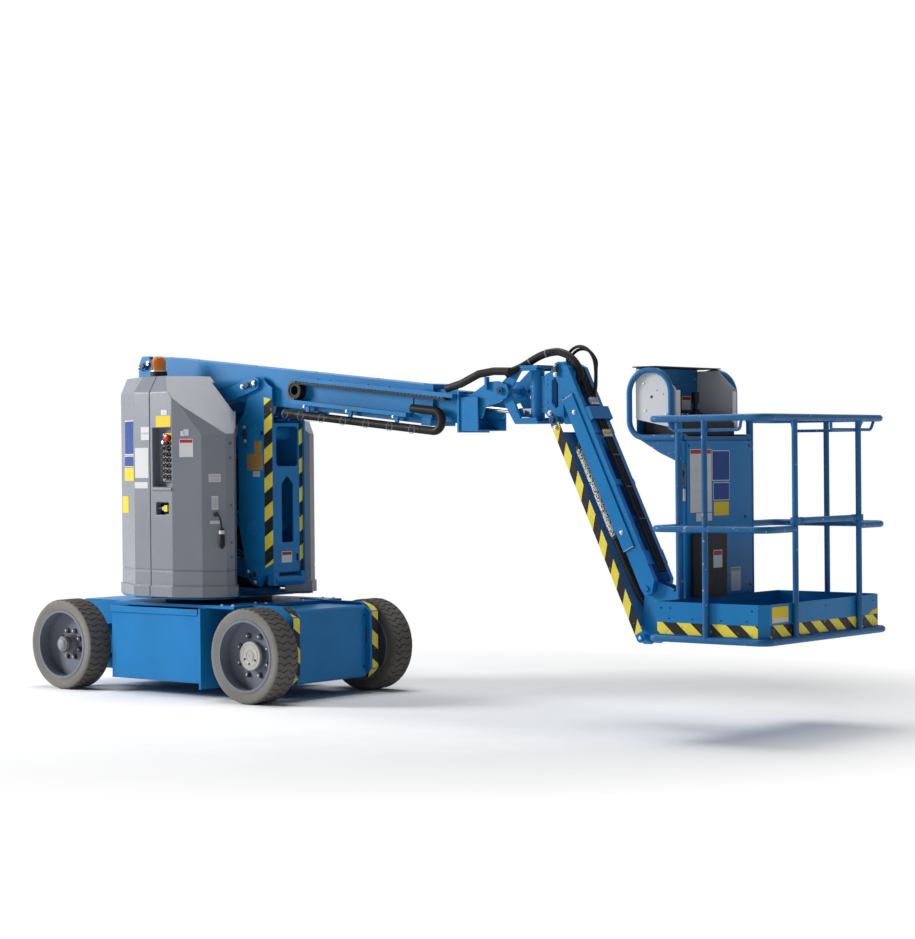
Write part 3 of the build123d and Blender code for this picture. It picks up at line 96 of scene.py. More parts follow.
class Tree:
    """A small writer for shader nodes."""

    def __init__(self, owner, output="ShaderNodeOutputMaterial"):
        owner.use_nodes = True
        self.tree = owner.node_tree
        self.tree.nodes.clear()
        self.out = self.add(output)
        self.place = self.add("ShaderNodeTexCoord").outputs["Object"]

    def add(self, kind, inputs=(), **settings):
        """A node with its settings; inputs maps a socket to a value or to another node's output."""
        node = self.tree.nodes.new(kind)
        for key, value in settings.items():
            setattr(node, key, value)
        for key, value in dict(inputs).items():
            self.set(node.inputs[key], value)
        return node

    def set(self, socket, value):
        if hasattr(value, "is_output"):
            self.tree.links.new(value, socket)
        else:
            socket.default_value = value

    def noise(self, scale, detail=4, rough=0.55):
        inputs = {"Vector": self.place, "Scale": scale, "Detail": detail, "Roughness": rough}
        return self.add("ShaderNodeTexNoise", inputs).outputs["Fac"]

    def math(self, operation, a, b=0, clamp=False):
        node = self.add("ShaderNodeMath", {0: a, 1: b}, operation=operation, use_clamp=clamp)
        return node.outputs["Value"]

    def ramp(self, value, lo, hi, out_lo=0, out_hi=1):
        inputs = {"Value": value, "From Min": lo, "From Max": hi, "To Min": out_lo, "To Max": out_hi}
        return self.add("ShaderNodeMapRange", inputs, clamp=True).outputs["Result"]

    def mix(self, amount, a, b):
        node = self.add("ShaderNodeMix", {"Factor": amount, 6: a, 7: b}, data_type="RGBA", blend_type="MIX")
        return node.outputs[2]

    def bump(self, height, strength, soft=0):
        """Fine relief; soft rounds the shading of hard edges by that radius."""
        inputs = {"Strength": strength, "Distance": RELIEF, "Height": height}
        if soft:
            inputs["Normal"] = self.add("ShaderNodeBevel", {"Radius": soft}, samples=4).outputs["Normal"]
        return self.add("ShaderNodeBump", inputs).outputs["Normal"]

    def surface(self, colour, rough, normal, metal=0, coat=0, emission=0, shine=SHINE):
        inputs = {"Base Color": colour, "Roughness": rough, "Metallic": metal, "Normal": normal,
                  "Specular IOR Level": shine, "Coat Weight": coat, "Coat Roughness": COAT_ROUGHNESS}
        if emission:
            inputs.update({"Emission Color": colour, "Emission Strength": emission})
        shader = self.add("ShaderNodeBsdfPrincipled", inputs)
        self.set(self.out.inputs["Surface"], shader.outputs["BSDF"])


def finish(name, colour, rough, vary, metal=0, bump=0.12, grain=240, chips=0,
           chip=(0.1, 0.07, 0.05), spots=46, dust=0, dust_top=0.7, coat=0, soft=0, shine=SHINE):
    """A worn surface: its colour varies by a share, with fine relief, chips, and dust near the floor."""
    M[name] = bpy.data.materials.new(name)
    t = Tree(M[name])
    low = [c * (1 - vary) for c in colour]
    high = [min(1, c * (1 + vary) + 0.01 * vary) for c in colour]
    tone = t.mix(t.ramp(t.noise(2.6, 5), 0.35, 0.65), rgb(*low), rgb(*high))
    if chips:
        mask = t.ramp(t.noise(spots, 3, 0.5), 0.735 - 0.05 * chips, 0.745 - 0.05 * chips)
        tone = t.mix(mask, tone, rgb(*chip))
    if dust:
        place = t.add("ShaderNodeSeparateXYZ", {"Vector": t.place}).outputs
        height = t.ramp(place["Z"], 0, dust_top, 1, 0)
        cloud = t.ramp(t.noise(7, 8, 0.7), 0.38, 0.72)
        amount = t.math("MULTIPLY", t.math("MULTIPLY", height, cloud), dust, clamp=True)
        tone = t.mix(amount, tone, rgb(*DUST))
    roughness = t.ramp(t.noise(PATCHES, 6, 0.62), 0.3, 0.7, rough * 0.82, min(1, rough * 1.22))
    t.surface(tone, roughness, t.bump(t.noise(grain, 3), bump, soft), metal, coat, 0, shine)


BLUE = (0.007, 0.168, 0.42)
finish("blue", BLUE, 0.34, 0.09, chips=0.3, dust=0.02, coat=0.06, soft=0.003)
finish("blue_worn", BLUE, 0.44, 0.14, chips=1.5, chip=(0.2, 0.1, 0.055), dust=0.05, coat=0.05)
finish("rail", (0.016, 0.12, 0.3), 0.45, 0.14, chips=0.9, chip=(0.3, 0.33, 0.36), coat=0.1)
finish("blue_dark", (0.01, 0.085, 0.23), 0.42, 0.12, chips=0.5)
finish("pin_blue", (0.06, 0.24, 0.56), 0.4, 0.12, chips=0.5)
finish("grey", (0.15, 0.168, 0.212), 0.5, 0.1, chips=0.4, dust=0.2, dust_top=0.6)
finish("hub_worn", (0.15, 0.12, 0.1), 0.58, 0.3, metal=0.3, chips=0.9, chip=(0.07, 0.04, 0.03),
       dust=0.4, dust_top=0.6)
finish("cap_grey", (0.235, 0.245, 0.265), 0.42, 0.12, dust=0.3)
finish("cap_pale", (0.42, 0.415, 0.395), 0.44, 0.14, metal=0.3, dust=0.3)
finish("cover", (0.165, 0.18, 0.212), 0.34, 0.05, bump=0.1, grain=420, dust=0.05, dust_top=1.2,
       coat=0.25, soft=0.009, shine=0.4)
finish("cover_side", (0.56, 0.58, 0.6), 0.5, 0.08, chips=0.6, chip=(0.2, 0.18, 0.16))
finish("black", (0.018, 0.018, 0.02), 0.5, 0.3, dust=0.2, dust_top=0.8)
finish("black_steel", (0.022, 0.021, 0.021), 0.55, 0.3, dust=0.4, dust_top=0.7)
finish("battery_lid", (0.034, 0.034, 0.037), 0.55, 0.3, dust=0.3, dust_top=1)
# painted shade: this near-black stands in for the shade inside holes, slots and hollows
finish("painted_recess_shade", (0.006, 0.007, 0.009), 0.7, 0.4)
finish("hose", (0.014, 0.014, 0.015), 0.44, 0.4, bump=0.3, grain=160)
finish("braid", (0.64, 0.63, 0.6), 0.75, 0.3, bump=0.7, grain=300, chips=4.25,
       chip=(0.03, 0.028, 0.026), spots=150)
finish("chrome", (0.72, 0.73, 0.75), 0.16, 0.05, metal=1, bump=0.03)
finish("zinc", (0.5, 0.5, 0.49), 0.36, 0.15, metal=0.9)
finish("dark_bolt", (0.05, 0.048, 0.046), 0.45, 0.2, metal=0.5)
finish("stud_grey", (0.11, 0.112, 0.118), 0.6, 0.15)
finish("chain_link", (0.06, 0.058, 0.057), 0.42, 0.25, metal=0.4)
finish("brass", (0.48, 0.36, 0.15), 0.34, 0.15, metal=0.9)
finish("gold", (0.42, 0.27, 0.085), 0.42, 0.14, metal=0.35)
finish("white_sign", (0.56, 0.57, 0.58), 0.4, 0.05, bump=0.03)
finish("pale_sign", (0.52, 0.53, 0.55), 0.42, 0.06, bump=0.03)
finish("blue_sign", (0.008, 0.045, 0.24), 0.38, 0.08, bump=0.03)
finish("yellow_sign", (0.68, 0.5, 0.02), 0.4, 0.06, bump=0.03)
finish("red_sign", (0.42, 0.025, 0.03), 0.4, 0.05, bump=0.03)
finish("grey_sign", (0.42, 0.42, 0.44), 0.4, 0.06, bump=0.03)
finish("green_sign", (0.12, 0.42, 0.25), 0.4, 0.06, bump=0.03)
finish("yellow", (0.78, 0.6, 0.02), 0.35, 0.05)
finish("red", (0.52, 0.02, 0.018), 0.28, 0.05, coat=0.4)
# the tread colour is also put on the tyres' inner side walls as painted shade
finish("tread", (0.1, 0.092, 0.084), 0.86, 0.22, bump=0.5, grain=110, dust=0.25, dust_top=0.6)
finish("sidewall", (0.18, 0.172, 0.158), 0.85, 0.14, bump=0.5, grain=90, chips=1,
       chip=(0.2, 0.19, 0.175))


def amber(name):
    """The beacon's lens: moulded orange plastic that glows a little."""
    M[name] = bpy.data.materials.new(name)
    t = Tree(M[name])
    tone = t.mix(t.ramp(t.noise(30), 0.3, 0.7), rgb(0.5, 0.14, 0.01), rgb(0.66, 0.21, 0.016))
    roughness = t.ramp(t.noise(60), 0.3, 0.7, 0.16, 0.3)
    t.surface(tone, roughness, t.bump(t.noise(90), 0.1), coat=0.5, emission=0.06)


def hazard(name, across, period, shift):
    """Scuffed yellow and black diagonal stripes; across is the row vector that crosses them."""
    M[name] = bpy.data.materials.new(name)
    t = Tree(M[name])
    inputs = {0: t.place, 1: Vector(across).normalized()}
    dot = t.add("ShaderNodeVectorMath", inputs, operation="DOT_PRODUCT").outputs["Value"]
    phase = t.math("FRACT", t.math("ADD", t.math("DIVIDE", dot, period), shift))
    yellow = t.mix(t.ramp(t.noise(9, 6), 0.35, 0.7), rgb(0.72, 0.6, 0.045), rgb(0.8, 0.69, 0.1))
    tone = t.mix(t.math("GREATER_THAN", phase, 0.5), yellow, rgb(0.02, 0.02, 0.022))
    scuff = t.ramp(t.noise(38, 6, 0.6), 0.635, 0.695)
    tone = t.mix(t.math("MULTIPLY", scuff, 0.6), tone, rgb(0.28, 0.27, 0.24))
    t.surface(tone, t.ramp(t.noise(50), 0.3, 0.7, 0.32, 0.52), t.bump(t.noise(300), 0.08))


amber("amber")
# direction across the stripes, period and shift of each tape, all read from the photograph
hazard("tape_link", (0.978, 0, -0.208), 0.1077, 0.654)
hazard("tape_toe_left", (0.644, 0, 0.765), 0.1075, 0.982)
hazard("tape_toe_right", (0.644, 0, 0.765), 0.1075, 0.728)
hazard("tape_toe_front", (0, 0.577, 0.817), 0.102, 0.088)
hazard("tape_nose", (0, 0.577, 0.817), 0.143, 0)
hazard("tape_cheek", (0.543, 0, -0.84), 0.1472, 0.453)
hazard("tape_front", (0, 0.543, -0.84), 0.1472, 0.706)


# ---------------------------------------------------------------- faces and shapes
class Face:
    """A flat face of the machine: s runs along it, t up it and w out of it."""

    def __init__(self, origin, along, up=(0, 0, 1)):
        self.o = Vector(origin)
        self.u = Vector(along).normalized()
        self.v = Vector(up).normalized()
        self.w = self.u.cross(self.v)

    def at(self, s, t, w=0):
        return self.o + self.u * s + self.v * t + self.w * w

    def turned(self, s, t, degrees):
        """The face about its point (s, t), turned in its own plane."""
        c, k = polar(1, degrees)
        return Face(self.at(s, t), self.u * c + self.v * k, self.v * c - self.u * k)


def side_face(y, x=0, z=0):
    """The upright plane at y, seen from the machine's right for y below 0 and from its left above."""
    return Face((x, y, z), (1 if y < 0 else -1, 0, 0))


def front_face(x):
    """The upright plane at x, seen from the front."""
    return Face((x, 0, 0), (0, 1, 0))


def level_face(x, y, z):
    """A level plane, seen from above."""
    return Face((x, y, z), (1, 0, 0), (0, 1, 0))


def member_face(joint, pitch, y):
    """A face of the member that starts at a joint's pin; s runs along it and t square to it."""
    c, k = polar(1, pitch)
    return Face((PINS[joint].x, y, PINS[joint].z), (c, 0, k), (-k, 0, c))


def polar(radius, degrees):
    """The point at an angle on a circle."""
    return radius * cos(radians(degrees)), radius * sin(radians(degrees))


def circle(face, s, t, radius, w, sides):
    """Points round (s, t) on a face, w above it."""
    turns = [2 * pi * i / sides for i in range(sides)]
    return [face.at(s + radius * cos(a), t + radius * sin(a), w) for a in turns]


class Piece:
    """One mesh put together from simple closed forms, in row coordinates."""

    def __init__(self):
        self.verts, self.faces, self.slots, self.keys = [], [], [], []

    def add(self, verts, faces, key):
        if key not in self.keys:
            self.keys.append(key)
        base = len(self.verts)
        self.verts += [tuple(v) for v in verts]
        self.faces += [[base + i for i in f] for f in faces]
        self.slots += [self.keys.index(key)] * len(faces)

    def prism(self, face, outline, w0, w1, key):
        """A closed plate with a convex outline of (s, t) points."""
        n = len(outline)
        pairs = list(zip(outline, outline[1:] + outline[:1]))
        if sum(a[0] * b[1] - b[0] * a[1] for a, b in pairs) < 0:
            outline = outline[::-1]
        verts = [face.at(s, t, w) for w in sorted((w0, w1)) for s, t in outline]
        faces = [list(range(n - 1, -1, -1)), list(range(n, 2 * n))]
        faces += [[i, (i + 1) % n, n + (i + 1) % n, n + i] for i in range(n)]
        self.add(verts, faces, key)

    def block(self, face, s0, s1, t0, t1, w0, w1, key):
        self.prism(face, [(s0, t0), (s1, t0), (s1, t1), (s0, t1)], w0, w1, key)

    def box(self, lo, hi, key):
        self.block(level_face(0, 0, 0), lo[0], hi[0], lo[1], hi[1], lo[2], hi[2], key)

    def plate(self, face, s0, s1, t0, t1, key, w0=0.0004, thick=0.0008, corner=0.004):
        """A thin plate with rounded corners."""
        corner = min(corner, (s1 - s0) / 2.01, (t1 - t0) / 2.01)
        outline = []
        for s, t, start in ((s1 - corner, t1 - corner, 0), (s0 + corner, t1 - corner, 90),
                            (s0 + corner, t0 + corner, 180), (s1 - corner, t0 + corner, 270)):
            for step in range(4):
                ds, dt = polar(corner, start + 30 * step)
                outline.append((s + ds, t + dt))
        self.prism(face, outline, w0, w0 + thick, key)

    def label(self, face, s0, s1, t0, t1, colour, *bands):
        """A blank sign; bands are (t from, t to, colour) stripes across it, as shares of its height."""
        self.plate(face, s0, s1, t0, t1, colour + "_sign")
        rim = min(0.004, (s1 - s0) * 0.06)
        for low, high, band in bands:
            a = max(t0 + (t1 - t0) * low, t0 + rim)
            b = min(t0 + (t1 - t0) * high, t1 - rim)
            self.plate(face, s0 + rim, s1 - rim, a, b, band + "_sign", 0.00125, 0.0003, 0.002)

    def skin(self, rows, key, closed=False):
        """Faces between rows of points; an open skin has its ends filled, a closed one joins up."""
        n = len(rows[0])
        faces = []
        for r in range(len(rows) if closed else len(rows) - 1):
            q = (r + 1) % len(rows)
            faces += [[r * n + i, r * n + (i + 1) % n, q * n + (i + 1) % n, q * n + i] for i in range(n)]
        if not closed:
            top = (len(rows) - 1) * n
            faces += [list(range(n - 1, -1, -1)), list(range(top, top + n))]
        self.add([point for row in rows for point in row], faces, key)

    def drum(self, face, s, t, rings, key, sides=20):
        """A solid of revolution about the face's normal; rings are (radius, height), bottom first."""
        self.skin([circle(face, s, t, radius, w, sides) for radius, w in rings], key)

    def disc(self, face, s, t, radius, w0, w1, key, sides=20):
        self.drum(face, s, t, [(radius, w0), (radius, w1)], key, sides)

    def knob(self, face, s, t, radius, w0, w1, tip, w2, key, sides=20):
        """A disc from w0 to w1 that narrows to the radius tip at w2."""
        self.drum(face, s, t, [(radius, w0), (radius, w1), (tip, w2)], key, sides)

    def ring(self, face, inner, outer, w0, w1, key, sides=32):
        """A flat ring round the face's origin."""
        rings = ((inner, w0), (outer, w0), (outer, w1), (inner, w1))
        self.skin([circle(face, 0, 0, radius, w, sides) for radius, w in rings], key, closed=True)

    def bolt(self, face, s, t, size=0.008, w0=0, key="zinc", washer=True):
        """A hexagon head on a washer."""
        if washer:
            self.disc(face, s, t, size * 1.45, w0, w0 + size * 0.22, key, 18)
        head = [(size, w0 + size * 0.2), (size, w0 + size * 0.75), (size * 0.82, w0 + size * 0.9)]
        self.drum(face, s, t, head, key, 6)

    def tube(self, points, radius, key, sides=14, bulge=None):
        """A round bar or hose through the points; bulge(i) scales its radius."""
        points = [Vector(p) for p in points]
        side = (points[1] - points[0]).normalized().orthogonal().normalized()
        turns = [2 * pi * k / sides for k in range(sides)]
        rows = []
        for i, p in enumerate(points):
            ahead = (points[min(i + 1, len(points) - 1)] - points[max(i - 1, 0)]).normalized()
            side = (side - ahead * side.dot(ahead)).normalized()
            up = ahead.cross(side)
            r = radius * (bulge(i) if bulge else 1)
            rows.append([p + side * (r * cos(a)) + up * (r * sin(a)) for a in turns])
        self.skin(rows, key)

    def build(self, name, bevel=0, sharp=32):
        """The finished mesh object, on no body yet; edges over sharp degrees stay hard."""
        mesh = bpy.data.meshes.new(name)
        mesh.from_pydata(self.verts, [], self.faces)
        for key in self.keys:
            mesh.materials.append(M[key])
        for polygon, slot in zip(mesh.polygons, self.slots):
            polygon.material_index = slot
            polygon.use_smooth = True
        grid = bmesh.new()
        grid.from_mesh(mesh)
        bmesh.ops.recalc_face_normals(grid, faces=grid.faces)
        for edge in grid.edges:
            edge.smooth = len(edge.link_faces) == 2 and edge.calc_face_angle(0) < radians(sharp)
        grid.to_mesh(mesh)
        grid.free()
        obj = placed(name, mesh)
        if bevel:
            modifier = obj.modifiers.new("edges", "BEVEL")
            modifier.width = bevel
            modifier.segments = 2
            modifier.limit_method = "ANGLE"
            modifier.angle_limit = radians(40)
            modifier.use_clamp_overlap = True
        return obj

    def make(self, name, body, bevel=0, sharp=32):
        obj = self.build(name, bevel, sharp)
        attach(obj, body)
        return obj


def smooth_path(points, steps=8):
    """Points on a Catmull-Rom curve through the given ones."""
    pts = [Vector(p) for p in points]
    pts = [pts[0] * 2 - pts[1]] + pts + [pts[-1] * 2 - pts[-2]]
    path = []
    for i in range(1, len(pts) - 2):
        a, b, c, d = pts[i - 1:i + 3]
        for k in range(steps):
            q = k / steps
            path.append(0.5 * ((2 * b) + (c - a) * q + (2 * a - 5 * b + 4 * c - d) * q * q
                               + (3 * b - a - 3 * c + d) * q ** 3))
    path.append(pts[-2])
    return path


def retainer(piece, face, s, t, angle, reach, w0):
    """A pin's lock bar: two bolts at its ends and the pin's dark end between them."""
    bar = face.turned(s, t, angle)
    half = reach + 0.011
    piece.plate(bar, -half, half, -0.012, 0.012, "blue_dark", w0, 0.006, 0.0115)
    piece.knob(bar, 0, 0, 0.015, w0, w0 + 0.012, 0.012, w0 + 0.014, "dark_bolt", 16)
    for end in (-reach, reach):
        piece.bolt(bar, end, 0, 0.0095, w0 + 0.006)


# ---------------------------------------------------------------- looks of the CAD nodes
DRESS = (
    ("blue", "*"),
    ("grey", "rim_*"),
    ("tread", "tyre_*"),
    ("cover", "rear_covers cover_door_right cover_door_left"),
    ("black_steel", "running_gear knuckle_* counterweight level_barrels"),
    ("black", "batteries_* beacon_base ground_controls hood_lid control_console storage_box"),
    ("hose", "boom_hoses nose_hoses jib_hoses"),
    ("chrome", "riser_rod lift_rod level_rods jib_rod"),
    ("amber", "beacon_lens"),
    ("cover_side", "hood_side_plates"),
    ("blue_worn", "cable_track"),
    ("rail", "platform_rails control_hood entry_bar"),
)
for key, patterns in DRESS:
    for name in [n for pattern in patterns.split() for n in fnmatch.filter(NODES, pattern)]:
        NODES[name].data.materials.clear()
        NODES[name].data.materials.append(M[key])


# ---------------------------------------------------------------- wheels
LUGS = 42
# share of the way from one lug to the next, and whether the point is on a lug
LUG_PROFILE = ((0, True), (0.045, False), (0.15, False), (0.2, True), (0.62, True))
GROOVE_DEPTH = 0.0085
SHOULDER = 0.03  # the tyre's outer rim, where the grooves wave and the rubber is worn
WEAR = 0.0012
TREAD_START = 0.018  # from the side wall to the flat tread
TREAD_ROWS = 27
NUTS = 8
FIRST_NUT = 22  # degrees
DISC = -0.088  # the rim's disc, from the rim's edge


def tyre(name):
    """A solid tyre with wavy cross grooves that run out through its shoulders; its inner side wall is
    darkened as painted shade.
    """
    lo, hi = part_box("tyre_" + name)
    rim_lo, rim_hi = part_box("rim_" + name)
    x, z = (lo[0] + hi[0]) / 2, (lo[2] + hi[2]) / 2
    radius, bore, width = (hi[2] - lo[2]) / 2, (rim_hi[2] - rim_lo[2]) / 2, hi[1] - lo[1]
    outer, inward = (lo[1], 1) if lo[1] < 0 else (hi[1], -1)
    edge = [(bore + 0.0004, 0.006), (bore + 0.004, 0.0035), (bore + 0.01, 0.0045), (bore + 0.024, 0.0012),
            (radius - 0.022, 0), (radius - 0.012, 0.0025), (radius - 0.006, 0.0062),
            (radius - 0.0022, 0.012)]
    step = (width - 2 * TREAD_START) / (TREAD_ROWS - 1)
    tread = [(radius, TREAD_START + step * k) for k in range(TREAD_ROWS)]
    section = edge + tread + [(r, width - d) for r, d in reversed(edge)]
    piece = Piece()
    piece.keys = ["sidewall", "tread"]
    for lug in range(LUGS):
        for share, on_lug in LUG_PROFILE:
            for r, depth in section:
                across = depth / width
                outside = r > radius - SHOULDER
                wave = 0.2 * sin(across * 2 * pi * 2.4) + 0.1 * sin(across * 2 * pi)
                a = 2 * pi * (lug + share + (wave if outside else 0)) / LUGS
                wear = noise.noise(Vector((cos(a) * 9, across * 6, sin(a) * 9 + x * 7))) * WEAR
                reach = r + (wear - WEAR if outside else 0)
                if not on_lug:
                    reach = min(reach, radius - GROOVE_DEPTH + wear)
                at = (x + reach * cos(a), outer + inward * depth, z + reach * sin(a))
                piece.verts.append(at)
    n = len(section)
    columns = LUGS * len(LUG_PROFILE)
    for c in range(columns):
        d = (c + 1) % columns
        for r in range(n):
            q = (r + 1) % n
            quad = [c * n + r, c * n + q, d * n + q, d * n + r]
            piece.faces.append(quad if inward > 0 else quad[::-1])
            # the outer side wall takes the pale sidewall colour; the inner side wall takes the darker tread
            # colour as painted shade, the shadow of the chassis
            piece.slots.append(0 if r < len(edge) - 2 else 1)
    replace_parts(piece.make("tread_" + name, "wheel_" + name, sharp=24), "tyre_" + name)


def rim_edge(name):
    """The face of a wheel, and a piece that starts with its painted rim edge."""
    lo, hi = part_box("rim_" + name)
    radius = (hi[2] - lo[2]) / 2
    face = side_face(lo[1] if lo[1] < 0 else hi[1], (lo[0] + hi[0]) / 2, (lo[2] + hi[2]) / 2)
    p = Piece()
    p.ring(face, radius - 0.015, radius + 0.0005, -0.004, 0.0015, "grey", 72)
    return face, p


def nuts(p, face, radius, name):
    """Wheel nuts on their studs, which end a wheel's fittings."""
    for i in range(NUTS):
        s, t = polar(radius, 360 * i / NUTS + FIRST_NUT)
        p.bolt(face, s, t, 0.0125, DISC + 0.0005, "dark_bolt")
        stud = [(0.0062, DISC + 0.008), (0.006, DISC + 0.022), (0.0045, DISC + 0.023)]
        p.drum(face, s, t, stud, "zinc", 12)
    p.make("wheel_fittings_" + name, "wheel_" + name)


def free_wheel(name):
    """Rear wheel: hub barrel with a worn band, and a domed cap."""
    face, p = rim_edge(name)
    cap = DISC + 0.08
    p.ring(face, 0.0615, 0.066, DISC, DISC + 0.008, "grey", 40)
    p.drum(face, 0, 0, [(0.052, DISC + 0.03), (0.05, DISC + 0.066), (0.046, DISC + 0.071)], "hub_worn", 32)
    p.drum(face, 0, 0, [(0.046, DISC + 0.071), (0.0455, DISC + 0.078), (0.041, cap)], "grey", 32)
    dome = [(r, cap + h * 0.012 / 0.034) for r, h in [polar(0.034, v) for v in (0, 20, 40, 60, 80)]]
    p.drum(face, 0, 0, [(0.036, cap - 0.0005)] + dome, "cap_grey", 28)
    nuts(p, face, 0.086, name)


def driven_wheel(name):
    """Drive wheel: a pale cast cover with raised rings and spokes over the gearbox."""
    face, p = rim_edge(name)
    top = DISC + 0.0385
    p.knob(face, 0, 0, 0.0845, top - 0.012, top, 0.082, top + 0.002, "cap_pale", 48)
    for inner, outer, lift in ((0.076, 0.08, 0.0042), (0.058, 0.061, 0.0036), (0.03, 0.033, 0.004),
                               (0.01, 0.024, 0.0034)):
        p.ring(face, inner, outer, top + 0.0005, top + lift, "cap_pale", 44)
    spokes = 28
    for i in range(spokes):
        angle = 360 * i / spokes
        spoke = face.turned(*polar(0.0675, angle), angle)
        p.block(spoke, -0.0045, 0.0045, -0.0013, 0.0013, top + 0.001, top + 0.0032, "cap_pale")
    for a in (205, 262, 330):
        p.knob(face, *polar(0.047, a), 0.007, top, top + 0.0045, 0.004, top + 0.005, "dark_bolt", 8)
    nuts(p, face, 0.122, name)


# ---------------------------------------------------------------- chassis
DECK_TOP = 0.556
FRONT_PLATE = 0.95
NOSE_LIP = (0.318, 0.37)  # inner and outer edge of the curved lips, from the middle
TRAY_FACE = 0.5
TRAY_HINGE = (0.356, 0.512)  # along the machine, and from its middle
BATTERY_PITCH = (0.182, 0.134)  # along the machine and across it
LID = (0.084, 0.061, 0.012)  # half length, half width and height


def chassis():
    """Tape on the nose's curved lips, and the bolts of the deck and the front plate."""
    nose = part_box("chassis_frame")[1][0]
    p = Piece()
    lip = [(0.905, 0.5575), (0.948, 0.532), (nose - 0.004, 0.5015), (nose + 0.0006, 0.49),
           (nose + 0.0006, 0.16), (nose - 0.004, 0.1485), (0.948, 0.12), (0.905, 0.092)]
    for side in (-1, 1):
        y0, y1 = sorted(side * y for y in NOSE_LIP)
        for (xa, za), (xb, zb) in zip(lip, lip[1:]):
            along = Vector((xb - xa, 0, zb - za))
            strip = Face((xa, y0, za), (0, 1, 0), -along)
            p.block(strip, 0, y1 - y0, -along.length, 0, 0.0003, 0.0013, "tape_nose")
    for x in (0.47, 0.56):
        for y in (-0.44, -0.16, 0.16, 0.44):
            p.bolt(level_face(0, 0, DECK_TOP), x, y, 0.008, 0.0002)
    for y in (-0.285, 0.285):
        for z in (0.165, 0.475):
            p.bolt(front_face(FRONT_PLATE), y, z, 0.0065, 0.0002, "blue_dark")
    p.make("chassis_trim", "chassis")


def tray_trim(name, side):
    """A battery tray's folded lip, kicked-in bottom edge and hinge pins."""
    lo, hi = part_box("tray_" + name)
    face = side_face(side * TRAY_FACE)
    x0, x1 = sorted((-side * lo[0], -side * 0.33))
    p = Piece()
    p.block(face, x0, x1, hi[2] - 0.036, hi[2] + 0.001, 0.0063, 0.0095, "blue")
    p.block(face, x0 + 0.004, x1 - 0.004, 0.0905, 0.096, 0.0003, 0.0022, "blue_worn")
    for z in (0.129, 0.187, 0.439, 0.497):
        hinge = level_face(TRAY_HINGE[0], side * TRAY_HINGE[1], z)
        p.knob(hinge, 0, 0, 0.0115, 0, 0.005, 0.009, 0.006, "pin_blue", 8)
    p.make("tray_trim_" + name, "tray_" + name)


def batteries(name, side):
    """Lids, caps and posts on the batteries inside a tray."""
    lo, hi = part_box("batteries_" + name)
    top = level_face(0, 0, hi[2])
    long, wide, high = LID
    p = Piece()
    for i in range(4):
        x = lo[0] + i * BATTERY_PITCH[0] + long + 0.002
        for j in range(2):
            y = (lo[1] + wide + 0.002 if side > 0 else hi[1] - wide - 0.002) + side * j * BATTERY_PITCH[1]
            p.block(top, x - long, x + long, y - wide, y + wide, 0, high, "battery_lid")
            for cap in (-0.05, 0, 0.05):
                p.knob(top, x + cap, y, 0.014, high, 0.022, 0.011, 0.024, "yellow", 12)
            for post in (-0.068, 0.068):
                p.knob(top, x + post, y + 0.044, 0.008, high, 0.026, 0.006, 0.027, "zinc", 10)
    p.make("battery_tops_" + name, "tray_" + name)


# ---------------------------------------------------------------- turntable covers
# corners of the covers seen from above, from the back to the front, on either side
COVER_PLAN = [(-0.552, 0.212), (-0.46, 0.38), (-0.15, 0.56), (0.178, 0.56), (0.358, 0.487),
              (0.457, 0.384), (0.472, 0.33)]
FACET = {key: Face((a[0], -a[1], 0), (b[0] - a[0], a[1] - b[1], 0))
         for key, a, b in zip(("rear", *"ABCDE"), COVER_PLAN, COVER_PLAN[1:])}
PANEL = (0.06, 0.164, 1.292, 1.588)  # x and z of the ground controls
PANEL_Y = -0.521
# rings of the push-in studs: radius, and height over the cover
STUD = [(0.0095, 0.0002), (0.0095, 0.0022), (0.006, 0.0042)]
SMALL_STUD = [(0.0075, 0.0002), (0.0075, 0.0018), (0.0045, 0.003)]


def signs(name, body, rows):
    """One piece with blank signs; a row is a facet's key, then what label takes."""
    p = Piece()
    for key, *sign in rows:
        p.label(FACET[key], *sign)
    p.make(name, body)


def cover_signs():
    """The blank signs on the right-hand covers."""
    signs("rear_cover_signs", "turntable", (
        ("A", 0.108, 0.352, 1.455, 1.666, "white", (0.03, 0.97, "blue")),
        ("A", 0.097, 0.349, 1.383, 1.45, "white", (0.06, 0.94, "blue")),
        ("A", 0.094, 0.345, 1.298, 1.376, "yellow"),
        ("A", 0.028, 0.195, 1.1, 1.202, "yellow"),
        ("B", 0.008, 0.126, 1.316, 1.498, "white"),
        ("B", 0.004, 0.119, 1.253, 1.291, "white"),
        ("B", 0.062, 0.134, 1.545, 1.624, "white", (0.42, 0.58, "grey")),
    ))
    signs("door_signs", "door_right", (
        ("B", 0.195, 0.32, 1.622, 1.689, "yellow"),
        ("B", 0.239, 0.29, 1.692, 1.724, "white"),
        ("C", 0.05, 0.14, 1.44, 1.548, "white", (0.79, 0.97, "red")),
        ("C", 0.058, 0.086, 1.566, 1.596, "white"),
        ("C", 0.078, 0.112, 1.568, 1.606, "pale"),
        ("D", 0.04, 0.112, 1.29, 1.338, "pale", (0.1, 0.46, "grey"), (0.56, 0.9, "grey")),
        ("D", 0.056, 0.096, 1.124, 1.207, "pale", (0.12, 0.88, "grey")),
        ("D", 0.046, 0.104, 1.04, 1.06, "pale"),
    ))


